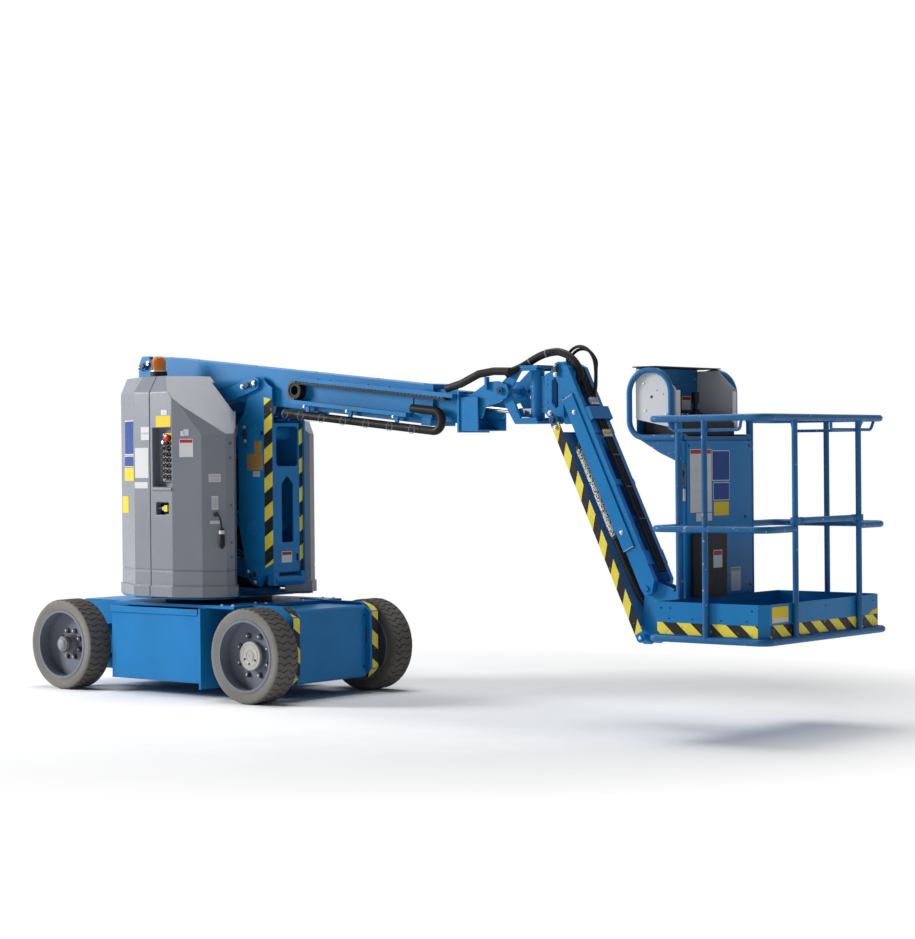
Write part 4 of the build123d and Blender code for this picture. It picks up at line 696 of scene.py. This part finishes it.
def charger_lead():
    """The short lead with its plug on the front of the right-hand door."""
    d = FACET["D"]
    p = Piece()
    gland = [(0.015, 0), (0.015, 0.006), (0.01, 0.009), (0.0075, 0.02)]
    p.drum(d, 0.08, 1.098, gland, "dark_bolt", 18)
    run = ((0.08, 1.098, 0.016), (0.088, 1.098, 0.03), (0.1, 1.086, 0.034), (0.108, 1.062, 0.03),
           (0.112, 1.036, 0.024), (0.114, 1.014, 0.022))
    p.tube(smooth_path([d.at(*point) for point in run], 6), 0.0048, "hose", 10)
    end = d.at(0.114, 0, 0.022)
    plug = level_face(end.x, end.y, 0)
    body = [(0.017, 0.905), (0.0185, 0.912), (0.0185, 0.968), (0.014, 0.976), (0.0155, 0.978),
            (0.0155, 1.004), (0.01, 1.012), (0.0065, 1.02)]
    p.drum(plug, 0, 0, body, "black", 18)
    p.disc(plug, 0, 0, 0.0168, 0.98, 1.002, "white_sign", 18)
    p.drum(plug, 0, 0, [(0.011, 0.893), (0.012, 0.9055)], "black", 16)
    p.make("charger_lead", "door_right")


def ground_panel():
    """Frame, emergency stop, dial, key switch, toggles and marks, in the door's recess."""
    face = side_face(PANEL_Y)
    x0, x1, z0, z1 = PANEL
    edge, line = 0.006, 0.0022
    left, right = x0 + 0.004, x1 - 0.004
    p = Piece()
    for sides in ((left, right, z1 - edge, z1 - edge + line), (left, right, z0 + edge - line, z0 + edge),
                  (left, left + line, z0 + edge, z1 - edge), (right - line, right, z0 + edge, z1 - edge)):
        p.plate(face, *sides, "white_sign", 0.0003, 0.0006, 0.0008)
    stop = (0.117, 1.556)
    p.plate(face, stop[0] - 0.03, stop[0] + 0.04, stop[1] - 0.032, stop[1] + 0.03, "yellow_sign", 0.0004,
            0.001, 0.006)
    button = [(0.0205, 0.012), (0.0225, 0.016), (0.0225, 0.022), (0.0195, 0.0285), (0.012, 0.031)]
    p.drum(face, *stop, button, "red", 28)
    dial = (0.116, 1.494)
    p.drum(face, *dial, [(0.0135, 0.0005), (0.0125, 0.024), (0.0105, 0.026)], "black", 20)
    key_switch = [(0.0105, 0.0005), (0.0105, 0.0236), (0.006, 0.0245), (0.006, 0.028)]
    p.drum(face, 0.084, 1.528, key_switch, "zinc", 16)
    for a in range(-60, 241, 30):
        ds, dt = polar(0.02, a)
        p.drum(face, dial[0] + ds, dial[1] + dt, [(0.0023, 0.0003), (0.0021, 0.0009)], "white_sign", 8)
    for row in range(6):
        for column in (0, 2) if row == 5 else (0, 1, 2):
            x, z = 0.084 + column * 0.032, 1.324 + row * 0.034
            p.drum(face, x, z, [(0.0062, 0.0232), (0.0056, 0.0245), (0.004, 0.0255)], "dark_bolt", 12)
            p.drum(face, x, z, [(0.0022, 0.025), (0.003, 0.035), (0.0022, 0.0365)], "cap_grey", 10)
            for dx, dz in ((-0.0115, 0.013), (0.0115, 0.013), (0, -0.0155)):
                s, t = x + dx, z + dz
                p.plate(face, s - 0.0028, s + 0.0028, t - 0.0022, t + 0.0022, "white_sign", 0.0003, 0.0006,
                        0.001)
    for x, z in ((x0 + 0.012, z0 + 0.012), (x1 - 0.012, z0 + 0.012), (x0 + 0.012, z1 - 0.014)):
        p.bolt(face, x, z, 0.0036, 0.0004)
    p.make("ground_switches", "door_right")


def window_connector():
    """The connector in the small window under the ground controls, before a dark sheet painted as the shade
    inside the window.
    """
    axis = Face((0.052, -0.543, 1.132), (0, 1, 0))
    p = Piece()
    p.drum(axis, 0, 0, [(0.011, -0.006), (0.011, 0.024), (0.014, 0.025), (0.014, 0.034)], "black", 18)
    p.disc(axis, 0, 0, 0.0145, 0.036, 0.05, "white_sign", 18)
    p.box((0.102, -0.554, 1.114), (0.128, -0.532, 1.152), "yellow")
    p.box((0.096, -0.548, 1.12), (0.102, -0.536, 1.146), "yellow")
    # painted shade: a near-black sheet behind the connector stands in for the shade inside the window
    p.plate(side_face(-0.526), 0.044, 0.146, 1.099, 1.166, "painted_recess_shade")
    p.make("window_connector", "door_right", bevel=0.0015)


def cover_fasteners():
    """Push-in studs on the front of the right-hand door and on both sides of the rear cover."""
    p = Piece()
    for z in (1.52, 1.432):
        p.drum(FACET["E"], 0.03, z, STUD, "stud_grey", 16)
    for z in (1.15, 0.928, 0.842):
        p.drum(FACET["E"], 0.034, z, SMALL_STUD, "stud_grey", 14)
    p.make("door_studs", "door_right")
    (xa, ya), (xb, yb) = COVER_PLAN[:2]
    for name, face in (("right", FACET["rear"]), ("left", Face((xb, yb, 0), (xa - xb, ya - yb, 0)))):
        q = Piece()
        for z in (0.72, 1.25, 1.76):
            for s in (0.035, 0.156):
                q.drum(face, s, z, STUD, "stud_grey", 16)
        q.make("rear_studs_" + name, "turntable")


def beacon():
    """Ribs and crown of the beacon's lens, and the trim of its foot."""
    lo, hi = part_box("beacon_lens")
    foot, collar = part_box("beacon_base")[0][2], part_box("beacon_base")[1][2]
    up = level_face((lo[0] + hi[0]) / 2, (lo[1] + hi[1]) / 2, 0)
    ribs = 40
    p = Piece()
    for i in range(ribs):
        c, k = polar(1, 360 * i / ribs)
        rib = Face(up.at(0.0423 * c, 0.0423 * k), (-k, c, 0))
        p.block(rib, -0.0016, 0.0016, lo[2] + 0.004, hi[2] - 0.016, -0.0012, 0.0012, "amber")
    crown = ((0.0345, -0.0005), (0.03, 0.006), (0.018, 0.01), (0.006, 0.011))
    p.drum(up, 0, 0, [(radius, hi[2] + lift) for radius, lift in crown], "amber", 36)
    p.make("beacon_ribs", "turntable")
    q = Piece()
    q.ring(up, 0.0465, 0.0535, collar - 0.006, collar - 0.001, "zinc", 40)
    q.ring(up, 0.0522, 0.056, foot + 0.002, foot + 0.01, "black", 40)
    for i in range(3):
        q.bolt(up, *polar(0.0485, 40 + 120 * i), 0.0042, collar - 0.0012)
    q.make("beacon_trim", "turntable")


# ---------------------------------------------------------------- riser and boom
BOOM_PITCH = -6.05
ARM_PITCH = -11
PIVOT_SIDE = 0.143
PIVOT_FRONT = 0.594
ARM_SIDE = -0.104
BOOM_SIDE = 0.103
TRACK_SIDE = -0.1653
TRACK_END = (1.334, -0.046)  # centre of the track's bend, along the boom and across it
PIN_CAP = [(0.0165, 0), (0.0165, 0.0015), (0.013, 0.003)]


def mid_pivot():
    """Tape, plates, lock bars, a sign and pin caps on the upright between the riser's arms, with a dark
    slot and hole painted as shade.
    """
    cheek, front = side_face(-PIVOT_SIDE), front_face(PIVOT_FRONT)
    p = Piece()
    side_tape = [(0.541, 0.766), (0.6095, 0.8), (0.6095, 1.779), (0.543, 1.797)]
    p.prism(cheek, side_tape, 0.0003, 0.0011, "tape_cheek")
    p.block(front, 0.104, 0.1425, 0.746, 1.638, 0.0003, 0.0011, "tape_front")
    p.plate(cheek, 0.397, 0.53, 1.357, 1.457, "gold", corner=0.002)
    p.plate(cheek, 0.457, 0.523, 1.459, 1.533, "gold", corner=0.002)
    p.plate(cheek, 0.446, 0.504, 1.317, 1.351, "grey_sign", corner=0.002)
    p.label(front, -0.055, 0.034, 0.798, 0.866, "white", (0.66, 0.97, "red"))
    # painted shade: a near-black strip stands in for the shade in a slot on the front
    p.plate(front, 0.074, 0.09, 0.806, 0.85, "painted_recess_shade", 0.0003, 0.0006, 0.007)
    retainer(p, cheek, 0.442, 1.872, 12, 0.05, 0.0295)
    retainer(p, cheek, 0.384, 1.575, 94, 0.042, 0.0003)
    retainer(p, cheek, 0.453, 0.714, -48, 0.044, 0.0203)
    # painted shade: a near-black disc stands in for the shade in a hole in the cheek
    p.disc(cheek, 0.524, 1.581, 0.0125, 0.0004, 0.0012, "painted_recess_shade")
    for side in (-1, 1):
        for joint, reach in (("riser_mid", 0.02), ("riser_upper_links", 0.029)):
            end = side_face(side * (PIVOT_SIDE + reach), PINS[joint].x, PINS[joint].z)
            p.drum(end, 0, 0, PIN_CAP, "dark_bolt")
    p.make("mid_pivot_trim", "mid_pivot")


def riser_fittings():
    """Studs on the lower arm, and the two hoses that run along it."""
    arm = member_face("riser_mid", ARM_PITCH, ARM_SIDE)
    p = Piece()
    for s in (-0.86, -0.06):
        p.knob(arm, s, 0, 0.012, 0.0003, 0.002, 0.009, 0.003, "pin_blue", 16)
    for s in (-0.6, -0.34):
        p.bolt(arm, s, 0, 0.008, 0.0003)
    p.make("lower_arm_studs", "lower_arm")
    q = Piece()
    low = PINS["riser_lift"]
    for y in (-0.082, -0.0655):
        route = [(low.x + 0.04, y, low.z + 0.06), (low.x + 0.2, y, low.z + 0.026),
                 (low.x + 0.5, y, low.z - 0.032), (low.x + 0.76, y, low.z - 0.08)]
        q.tube(smooth_path(route, 6), 0.0072, "hose", 10)
    q.make("riser_hoses", "lower_arm")


def chain_links():
    """Links of the cable track round its end and along its lower run, a dark disc painted as the shade in
    the bend's hollow, and the end's pins.
    """
    outer = member_face("boom_lift", BOOM_PITCH, TRACK_SIDE)
    p = Piece()
    for i in range(13):
        c, k = polar(1, 90 + 15 * i)
        link = Face(outer.at(TRACK_END[0] + 0.0505 * c, TRACK_END[1] + 0.0505 * k, -0.03),
                    outer.u * -k + outer.v * c, outer.u * c + outer.v * k)
        p.block(link, -0.0052, 0.0052, -0.0065, 0.0075, -0.03, 0.0262, "chain_link")
    # painted shade: a near-black disc stands in for the shade inside the track's bend
    p.disc(outer, *TRACK_END, 0.0275, -0.0565, -0.05, "painted_recess_shade", 30)
    for i in range(40):
        s = 1.352 + i * 0.0285
        p.block(outer, s, s + 0.02, 0.0032, 0.0078, -0.056, -0.003, "chain_link")
    for s, t in ((1.345, -0.04), (1.372, -0.062)):
        p.drum(outer, s, t, [(0.005, -0.045), (0.0035, -0.04)], "zinc", 10)
    p.make("chain_links", "boom_outer")


def boom_fittings():
    """Ties and buckles of the boom's sleeve, and bolts and plugs along the boom."""
    side = member_face("boom_lift", BOOM_PITCH, -BOOM_SIDE)
    outer = member_face("boom_lift", BOOM_PITCH, TRACK_SIDE)
    p = Piece()
    for s in (1.305, 1.431, 1.6, 1.771, 1.95, 2.131, 2.3):
        tie = Face(outer.at(s, -0.188, 0.032), (0, 1, 0), side.v)
        p.ring(tie, 0.0243, 0.0256, -0.003, 0.003, "stud_grey", 26)
    for s in (1.431, 1.771, 2.131):
        p.bolt(side, s, -0.132, 0.006, 0.0695)
    for s in (1.5, 1.6, 1.9, 2.06):
        p.bolt(Face(side.at(s, 0.032, 0.036), side.u, -side.w), 0, 0, 0.0055, 0.0002, "dark_bolt")
    top = Face(side.at(0, 0.066) + Vector((0, BOOM_SIDE, 0)), side.u, (0, 1, 0))
    for s in (0.35, 0.85, 1.35, 1.85):
        p.knob(top, s, 0, 0.01, 0.0003, 0.002, 0.007, 0.003, "blue", 16)
    p.make("boom_fittings", "boom_outer")


def boom_pin_retainers():
    """Lock bars at both ends of the boom's pin."""
    at = PINS["boom_lift"]
    p = Piece()
    for y in (-0.139, 0.139):
        retainer(p, side_face(y, at.x, at.z), 0, 0, 20, 0.046, 0.0003)
    p.make("boom_pin_retainers", "boom_pivot")


# ---------------------------------------------------------------- nose and jib
JIB_PITCH = -64
LINK_SIDE = -0.104
BEAM_SIDE = -0.091
SLEEVE_T, SLEEVE_Y = -0.0735, -0.068  # the braided sleeve's line beside the jib
HOSES_Y = (-0.024, 0, 0.024)
YOKE_PIN = [(0.0125, 0.0003), (0.0125, 0.002), (0.01, 0.003)]
NOSE_CUTS = (35, 60)  # points of the nose sleeve where it is cut into lengths, each with a band on the next body


def jib_point(s, t, y):
    """The point s along the jib, t square to it and y across the machine."""
    return member_face("jib_lift", JIB_PITCH, y).at(s, t)


def jib_trim():
    """Tape and pin bar of the jib's link, and the cover plate of its beams."""
    link = member_face("jib_link_turn", JIB_PITCH, LINK_SIDE)
    p = Piece()
    p.block(link, 0.03, 1.272, -0.0265, 0.0265, 0.0003, 0.0011, "tape_link")
    retainer(p, link, 0.008, 0, 0, 0.044, 0.0003)
    p.bolt(link, 1.3, 0, 0.01, 0.0003)
    p.make("link_tape", "jib_link")
    beam = member_face("jib_lift", JIB_PITCH, BEAM_SIDE)
    q = Piece()
    q.block(beam, 0.157, 1.067, -0.042, 0.033, 0.0052, 0.008, "blue")
    for s in (0.1585, 1.0655):
        q.block(beam, s - 0.0015, s + 0.0015, -0.04, 0.031, 0.0081, 0.0092, "pale_sign")
    for s, t in ((0.252, 0), (0.968, -0.006)):
        q.bolt(beam, s, t, 0.0085, 0.0081)
    retainer(q, beam, -0.014, -0.006, 158, 0.028, 0.0084)
    q.make("jib_cover", "jib_beams", bevel=0.0012)


def jib_sleeves():
    """The braided sleeve beside the link and the black one it runs into at the jib's foot."""
    p = Piece()
    feed = [jib_point(0.27, 0.01, -0.045), jib_point(0.33, -0.012, -0.046),
            jib_point(0.385, -0.05, -0.06), jib_point(0.435, -0.0745, -0.067)]
    p.tube(smooth_path(feed, 6), 0.0115, "hose")
    braid = [jib_point(0.425 + 0.042 * k, SLEEVE_T, SLEEVE_Y) for k in range(14)]
    p.tube(braid, 0.0228, "braid", 18, bulge=lambda i: 1 + 0.05 * sin(i * 1.9))
    beam = member_face("jib_lift", JIB_PITCH, SLEEVE_Y)
    for s in (0.432, 0.968):
        cuff = Face(beam.at(s, SLEEVE_T), beam.v, (0, 1, 0))
        p.ring(cuff, 0.0215, 0.024, -0.009, 0.009, "dark_bolt", 24)
    p.make("jib_sleeve", "jib_beams")
    foot = [jib_point(0.958, SLEEVE_T, SLEEVE_Y), jib_point(1.08, -0.075, -0.07),
            jib_point(1.19, -0.076, -0.064), (3.212, -0.046, 0.69), (3.243, -0.018, 0.632),
            (3.284, -0.008, 0.588), (3.335, -0.004, 0.566), (3.384, -0.004, 0.558)]
    q = Piece()
    q.tube(smooth_path(foot), 0.0195, "hose", 18)
    start, end = jib_point(1.02, -0.075, SLEEVE_Y), (3.3, -0.008, 0.58)
    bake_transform(q.build("foot_sleeve"))


def hose_fittings():
    """Ends of the hoses between the beams, white and brass, with the plate that covers them."""
    top = member_face("jib_lift", JIB_PITCH, 0)
    over = Face(top.at(0, 0.0905), top.u, (0, 1, 0))
    p = Piece()
    for y in HOSES_Y:
        for s, key in ((0.205, "pale_sign"), (0.4, "brass")):
            end = Face(top.at(s, 0.0813) + Vector((0, y, 0)), top.v, (0, 1, 0))
            ahead = 1 if end.w.dot(top.u) > 0 else -1
            ferrule = ((0.0108, 0), (0.0118, 0.004), (0.0118, 0.026), (0.0098, 0.03))
            p.drum(end, 0, 0, [(r, ahead * w) for r, w in ferrule], key, 16)
            p.disc(end, 0, 0, 0.0128, ahead * 0.031, ahead * 0.043, "zinc", 6)
    p.block(over, 0.262, 0.338, -0.086, 0.09, 0.004, 0.007, "blue")
    p.block(over, 0.262, 0.338, 0.087, 0.09, -0.026, 0.004, "blue")
    p.block(over, 0.262, 0.338, -0.089, -0.086, -0.026, 0.007, "blue")
    for s in (0.55, 0.74, 0.93):
        p.block(over, s, s + 0.007, -0.036, 0.036, 0.0004, 0.0022, "stud_grey")
    p.make("jib_hose_fittings", "jib_beams", bevel=0.0008)


def nose_sleeve():
    """The big sleeve over the nose, in three lengths, and a band on the next body at each joint."""
    sleeve = ((2.372, -0.11, 1.88), (2.404, -0.098, 1.897), (2.439, -0.066, 1.917),
              (2.474, -0.048, 1.938), (2.515, -0.042, 1.96), (2.557, -0.038, 1.978),
              (2.6, -0.034, 1.991), (2.64, -0.028, 1.997), (2.68, -0.022, 1.996),
              (2.741, -0.02, 1.973), (2.795, -0.02, 1.922), (2.814, -0.02, 1.867),
              (2.806, -0.02, 1.8), (2.822, -0.02, 1.742))
    fine = smooth_path(sleeve, 10)
    cuts = (0, *NOSE_CUTS, len(fine) - 1)
    bodies = ("boom_extension", "nose_bracket", "jib_yoke", "jib_beams")
    for k, name in enumerate(("nose_sleeve", "turn_sleeve", "top_sleeve")):
        i, j = cuts[k:k + 2]
        p = Piece()
        p.tube(fine[i:j + 1], 0.0215, "hose", 20)
        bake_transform(p.build(name))
    for index, body in zip(NOSE_CUTS, bodies[1:]):
        ahead = (fine[index + 1] - fine[index - 1]).normalized()
        side = ahead.cross(Vector((0, 1, 0))).normalized()
        q = Piece()
        q.ring(Face(fine[index], side, ahead.cross(side)), 0.0212, 0.0228, -0.003, 0.003, "cap_grey", 28)
        q.make("sleeve_band_" + body, body)


def thin_loops():
    """The two thin hose loops over the jib's top pin; the second lies lower by its drop."""
    for k, (y, drop) in enumerate(((0.018, 0), (0.044, 0.014))):
        points = [(2.7 + 0.004 * k, y, 1.9), (2.702, y, 1.96 - drop), (2.716, y + 0.004, 1.996 - drop),
                  (2.751, y + 0.006, 2.02 - drop), (2.795, y + 0.006, 2.024 - drop),
                  (2.839, y + 0.006, 2.004 - drop), (2.874, y + 0.005, 1.958 - drop),
                  (2.89 - drop, y + 0.002, 1.893), (2.888 - drop, y, 1.8), (2.872 - drop, y, 1.728)]
        p = Piece()
        p.tube(smooth_path(points, 10), 0.0085, "hose", 18)
        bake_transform(p.build(f"thin_loop_{k}"))


def nose_trim():
    """Pin caps of the nose, and bolts of the yoke."""
    at = PINS["nose_level"]
    p = Piece()
    for y in (-0.118, 0.118):
        end = side_face(y, at.x, at.z)
        p.ring(end, 0.0125, 0.0215, 0.0003, 0.003, "blue_dark", 30)
        p.bolt(end, 0, 0, 0.01, 0.0003, "dark_bolt")
    p.make("nose_pin_caps", "boom_extension")
    q = Piece()
    for y in (-0.052, 0.052):
        for z in (1.69, 1.725, 1.82, 1.85):
            q.bolt(side_face(y, 2.612, z), 0, 0, 0.0048, 0.0003, "pin_blue")
    for y in (-0.099, 0.099):
        q.drum(side_face(y, 2.72, 1.89), 0, 0, YOKE_PIN, "dark_bolt")
    q.make("yoke_bolts", "jib_yoke")


# ---------------------------------------------------------------- platform
TOE_SIDE = -0.57
TOE_FRONT = 4.325
TOE_TAPE = (0.533, 0.592, 0.0003, 0.001)  # from and to in height, and out of the board
TOE_HOLE = (0.0048, 0.0002, 0.0007)  # radius, and from and to out of the board, of the dark discs painted as shade in the board's holes
HOOD_BACK = 3.378
WING_SIDE = -0.305


def toe_board():
    """Tape along the toe board, its sign, dark discs painted as the shade in its small holes, and its
    bolts.
    """
    near, front = side_face(TOE_SIDE), front_face(TOE_FRONT)
    p = Piece()
    p.block(near, 3.692, 3.975, *TOE_TAPE, "tape_toe_left")
    p.block(near, 4.01, 4.283, *TOE_TAPE, "tape_toe_right")
    p.block(front, -0.522, 0.522, *TOE_TAPE, "tape_toe_front")
    p.label(front, -0.508, -0.358, 0.604, 0.682, "yellow", (0.05, 0.3, "pale"))
    corner = [(0.43, 0.594), (0.522, 0.594), (0.518, 0.622), (0.47, 0.616), (0.44, 0.603)]
    p.prism(front, corner, 0.0003, 0.0009, "yellow_sign")
    # painted shade: near-black discs stand in for the shade inside the small holes
    for s in (3.716, 3.77, 3.985, 4.25):
        p.disc(near, s, 0.664, *TOE_HOLE, "painted_recess_shade", 14)
    for s in (-0.3, 0, 0.3, 0.48):
        p.disc(front, s, 0.664, *TOE_HOLE, "painted_recess_shade", 14)
    for s in (3.76, 3.9, 4.07, 4.22):
        p.bolt(near, s, 0.612, 0.0042, 0.0002, "blue_dark", washer=False)
    p.make("toe_board_trim", "platform")


def rear_panel_signs():
    """Blank signs, plain bars on the largest, and bolts on the panel under the controls."""
    face = front_face(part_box("rear_panel")[1][0])
    p = Piece()
    for sign in ((-0.278, -0.08, 1.132, 1.458, "white", (0.925, 0.99, "red")),
                 (-0.226, -0.08, 1.086, 1.128, "white"),
                 (-0.074, 0.092, 1.292, 1.45, "white", (0.02, 0.98, "blue")),
                 (-0.064, 0.088, 1.19, 1.284, "white", (0.03, 0.97, "blue")),
                 (-0.06, 0.081, 1.112, 1.183, "yellow"),
                 (0.096, 0.19, 0.712, 0.838, "white", (0.84, 0.98, "green"))):
        p.label(face, *sign)
    for row in range(4):
        t = 1.188 + 0.052 * row
        p.plate(face, -0.262, -0.096, t, t + 0.002, "grey_sign", 0.0013, 0.0002, 0.001)
    for s, t in ((-0.285, 1.475), (0.285, 1.475), (-0.285, 0.74), (0.285, 0.74), (0.24, 1.1)):
        p.bolt(face, s, t, 0.006, 0.0003, "blue_dark")
    p.make("rear_panel_signs", "platform")


def socket_plate():
    """The blue socket on the panel's wing, and its sign."""
    wing = side_face(WING_SIDE)
    p = Piece()
    p.plate(wing, 3.649, 3.693, 1.266, 1.384, "cap_grey", 0.0004, 0.004, 0.003)
    socket = [(0.017, 0.004), (0.017, 0.022), (0.0145, 0.024), (0.0145, 0.036), (0.012, 0.038)]
    p.drum(wing, 3.671, 1.334, socket, "blue_sign", 24)
    p.disc(wing, 3.671, 1.284, 0.006, 0.004, 0.006, "dark_bolt", 12)
    p.label(wing, 3.652, 3.69, 1.192, 1.254, "white")
    p.make("socket_plate", "platform")


def box_sign():
    """The blank sign on the storage box."""
    p = Piece()
    face = front_face(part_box("storage_box")[1][0])
    p.label(face, -0.215, -0.132, 0.85, 0.941, "white", (0.7, 0.97, "red"))
    p.make("box_sign", "platform")


def hood_trim():
    """Flanges, bolts and knobs of the hood over the platform's controls."""
    p = Piece()
    for y0, y1 in ((-0.2845, -0.246), (0.246, 0.2845)):
        p.box((3.619, y0, 1.582), (3.6225, y1, 1.762), "cover_side")
    near = side_face(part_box("hood_side_plates")[0][1])
    for s, t in ((3.42, 1.8), (3.56, 1.64), (3.43, 1.66)):
        p.bolt(near, s, t, 0.005, 0.0002)
    for s, t, r in ((3.47, 1.73, 0.0085), (3.505, 1.762, 0.004), (3.545, 1.742, 0.0035)):
        p.disc(near, s, t, r, 0.0002, 0.0006, "dark_bolt", 14)
    p.make("hood_trim", "platform", bevel=0.0008)


def console_switches():
    """Sign, toggles with their marks, emergency stop and stick boots on the sloping console."""
    p = Piece()
    p.label(front_face(HOOD_BACK), 0.128, 0.213, 1.668, 1.742, "white", (0.72, 0.97, "red"))
    top = Face((3.4, 0, 1.66), (0.236, 0, -0.06), (0, 1, 0))
    for s in (0.075, 0.15):
        for t in (-0.19, -0.145, -0.055, -0.01, 0.035):
            p.knob(top, s, t, 0.008, 0.0002, 0.003, 0.005, 0.005, "zinc", 14)
            p.drum(top, s, t, [(0.003, 0.004), (0.0036, 0.02), (0.002, 0.022)], "black", 10)
            p.plate(top, s + 0.012, s + 0.02, t - 0.006, t + 0.006, "white_sign", 0.0003, 0.0004, 0.001)
    p.drum(top, 0.19, 0.2, [(0.018, 0.001), (0.018, 0.01), (0.022, 0.012), (0.02, 0.022)], "red", 24)
    boot = ((1, 0.0002), (1, 0.006), (0.8, 0.01), (0.85, 0.015), (0.62, 0.019), (0.68, 0.024), (0.5, 0.03))
    for s, t, radius in ((0.0722, 0.12, 0.03), (0.0825, -0.09, 0.022)):
        p.drum(top, s, t, [(radius * share, w) for share, w in boot], "black", 28)
    p.make("console_switches", "platform")


def entry_bar_rings():
    """Stop rings at both ends of the entry bar."""
    lo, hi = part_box("entry_bar")
    p = Piece()
    for y, inward in ((lo[1] + 0.024, 1), (hi[1] - 0.024, -1)):
        across = Face((4.338, y, 1.1), (0, 0, 1), (1, 0, 0))
        for gap in (0.04, 0.06):
            p.ring(across, 0.0146, 0.0168, inward * gap - 0.004, inward * gap + 0.004, "blue_dark", 24)
    p.make("entry_bar_rings", "entry_bar")


# ---------------------------------------------------------------- stage, light and camera
STAGE_CENTRE = (1.6, 0, 0)
STAGE_FADE = (2.4, 3.8)  # from the centre, where the floor turns to the white of the background
STAGE_REACH = 60
CAMERA_AT = (10.418, -10.287, 1.443)
CAMERA_TURN = (129.53, -0.376, -0.522)  # yaw, pitch and roll in degrees
CAMERA_LENS = 89.96


def stage():
    """A pale floor that fades into the white background."""
    material = bpy.data.materials.new("floor")
    t = Tree(material)
    away = t.add("ShaderNodeVectorMath", {0: t.place, 1: STAGE_CENTRE}, operation="DISTANCE")
    fade = t.ramp(away.outputs["Value"], *STAGE_FADE)
    tone = t.mix(t.ramp(t.noise(3), 0.3, 0.7), rgb(0.86, 0.86, 0.86), rgb(0.89, 0.89, 0.89))
    diffuse = t.add("ShaderNodeBsdfDiffuse", {"Color": tone}).outputs[0]
    glow = t.add("ShaderNodeEmission", {"Color": rgb(1, 1, 1), "Strength": 1}).outputs[0]
    both = t.add("ShaderNodeMixShader", {0: fade, 1: diffuse, 2: glow}).outputs[0]
    t.set(t.out.inputs["Surface"], both)
    mesh = bpy.data.meshes.new("floor")
    corners = [(x * STAGE_REACH, y * STAGE_REACH, 0) for x, y in ((-1, -1), (1, -1), (1, 1), (-1, 1))]
    mesh.from_pydata(corners, [], [(0, 1, 2, 3)])
    mesh.materials.append(material)
    placed("floor", mesh)


def world():
    """White to the camera, pale in reflections and dim as a light."""
    studio = bpy.data.worlds.new("studio")
    bpy.context.scene.world = studio
    t = Tree(studio, "ShaderNodeOutputWorld")
    seen, soft, gloss = [
        t.add("ShaderNodeBackground", {"Color": rgb(*colour), "Strength": strength}).outputs[0]
        for colour, strength in (((1, 1, 1), 1), ((0.93, 0.96, 1), 0.16), ((0.95, 0.97, 1), 0.75))]
    path = t.add("ShaderNodeLightPath").outputs
    lit = t.add("ShaderNodeMixShader", {0: path["Is Glossy Ray"], 1: soft, 2: gloss}).outputs[0]
    both = t.add("ShaderNodeMixShader", {0: path["Is Camera Ray"], 1: lit, 2: seen}).outputs[0]
    t.set(t.out.inputs["Surface"], both)


def area(name, where, target, size, power):
    """A round area light that looks at its target."""
    data = bpy.data.lights.new(name, "AREA")
    data.shape = "DISK"
    data.size = size
    data.energy = power
    lamp = placed(name, data)
    lamp.location = where
    lamp.rotation_mode = "QUATERNION"
    lamp.rotation_quaternion = (Vector(target) - Vector(where)).to_track_quat("-Z", "Y")


def lights():
    """A large key light from the machine's right and behind, and a soft one from above."""
    area("key", (-9, -7.2, 5), (1.5, 0, 0.9), size=4.5, power=1900)
    area("top", (0.5, 0.5, 9), STAGE_CENTRE, size=6, power=560)


def camera():
    """The photograph's camera."""
    yaw, pitch, roll = [radians(angle) for angle in CAMERA_TURN]
    forward = Vector((cos(pitch) * cos(yaw), cos(pitch) * sin(yaw), sin(pitch)))
    right = forward.cross(Vector((0, 0, 1))).normalized()
    up = right.cross(forward)
    turned_right = right * cos(roll) + up * sin(roll)
    turned_up = up * cos(roll) - right * sin(roll)
    data = bpy.data.cameras.new("camera")
    data.sensor_fit = "AUTO"
    data.sensor_width = 36
    data.lens = CAMERA_LENS
    cam = placed("camera", data)
    turn = Matrix((turned_right, turned_up, -forward)).transposed().to_4x4()
    cam.matrix_world = Matrix.Translation(CAMERA_AT) @ turn
    bpy.context.scene.camera = cam


# ---------------------------------------------------------------- everything, from the wheels up
for wheel in ("front_right", "front_left", "rear_right", "rear_left"):
    tyre(wheel)
for side in ("right", "left"):
    driven_wheel("front_" + side)
for side in ("right", "left"):
    free_wheel("rear_" + side)
chassis()
for trim in (tray_trim, batteries):
    trim("right", -1)
    trim("left", 1)
for build in (cover_signs, charger_lead, ground_panel, window_connector, cover_fasteners, beacon, mid_pivot,
              riser_fittings, chain_links, boom_fittings, boom_pin_retainers, jib_trim, jib_sleeves,
              hose_fittings, nose_sleeve, thin_loops, nose_trim, toe_board, rear_panel_signs, socket_plate,
              box_sign, hood_trim, console_switches, entry_bar_rings, stage, world, lights,
              camera):
    build()
bpy.context.scene.view_settings.view_transform = "Standard"
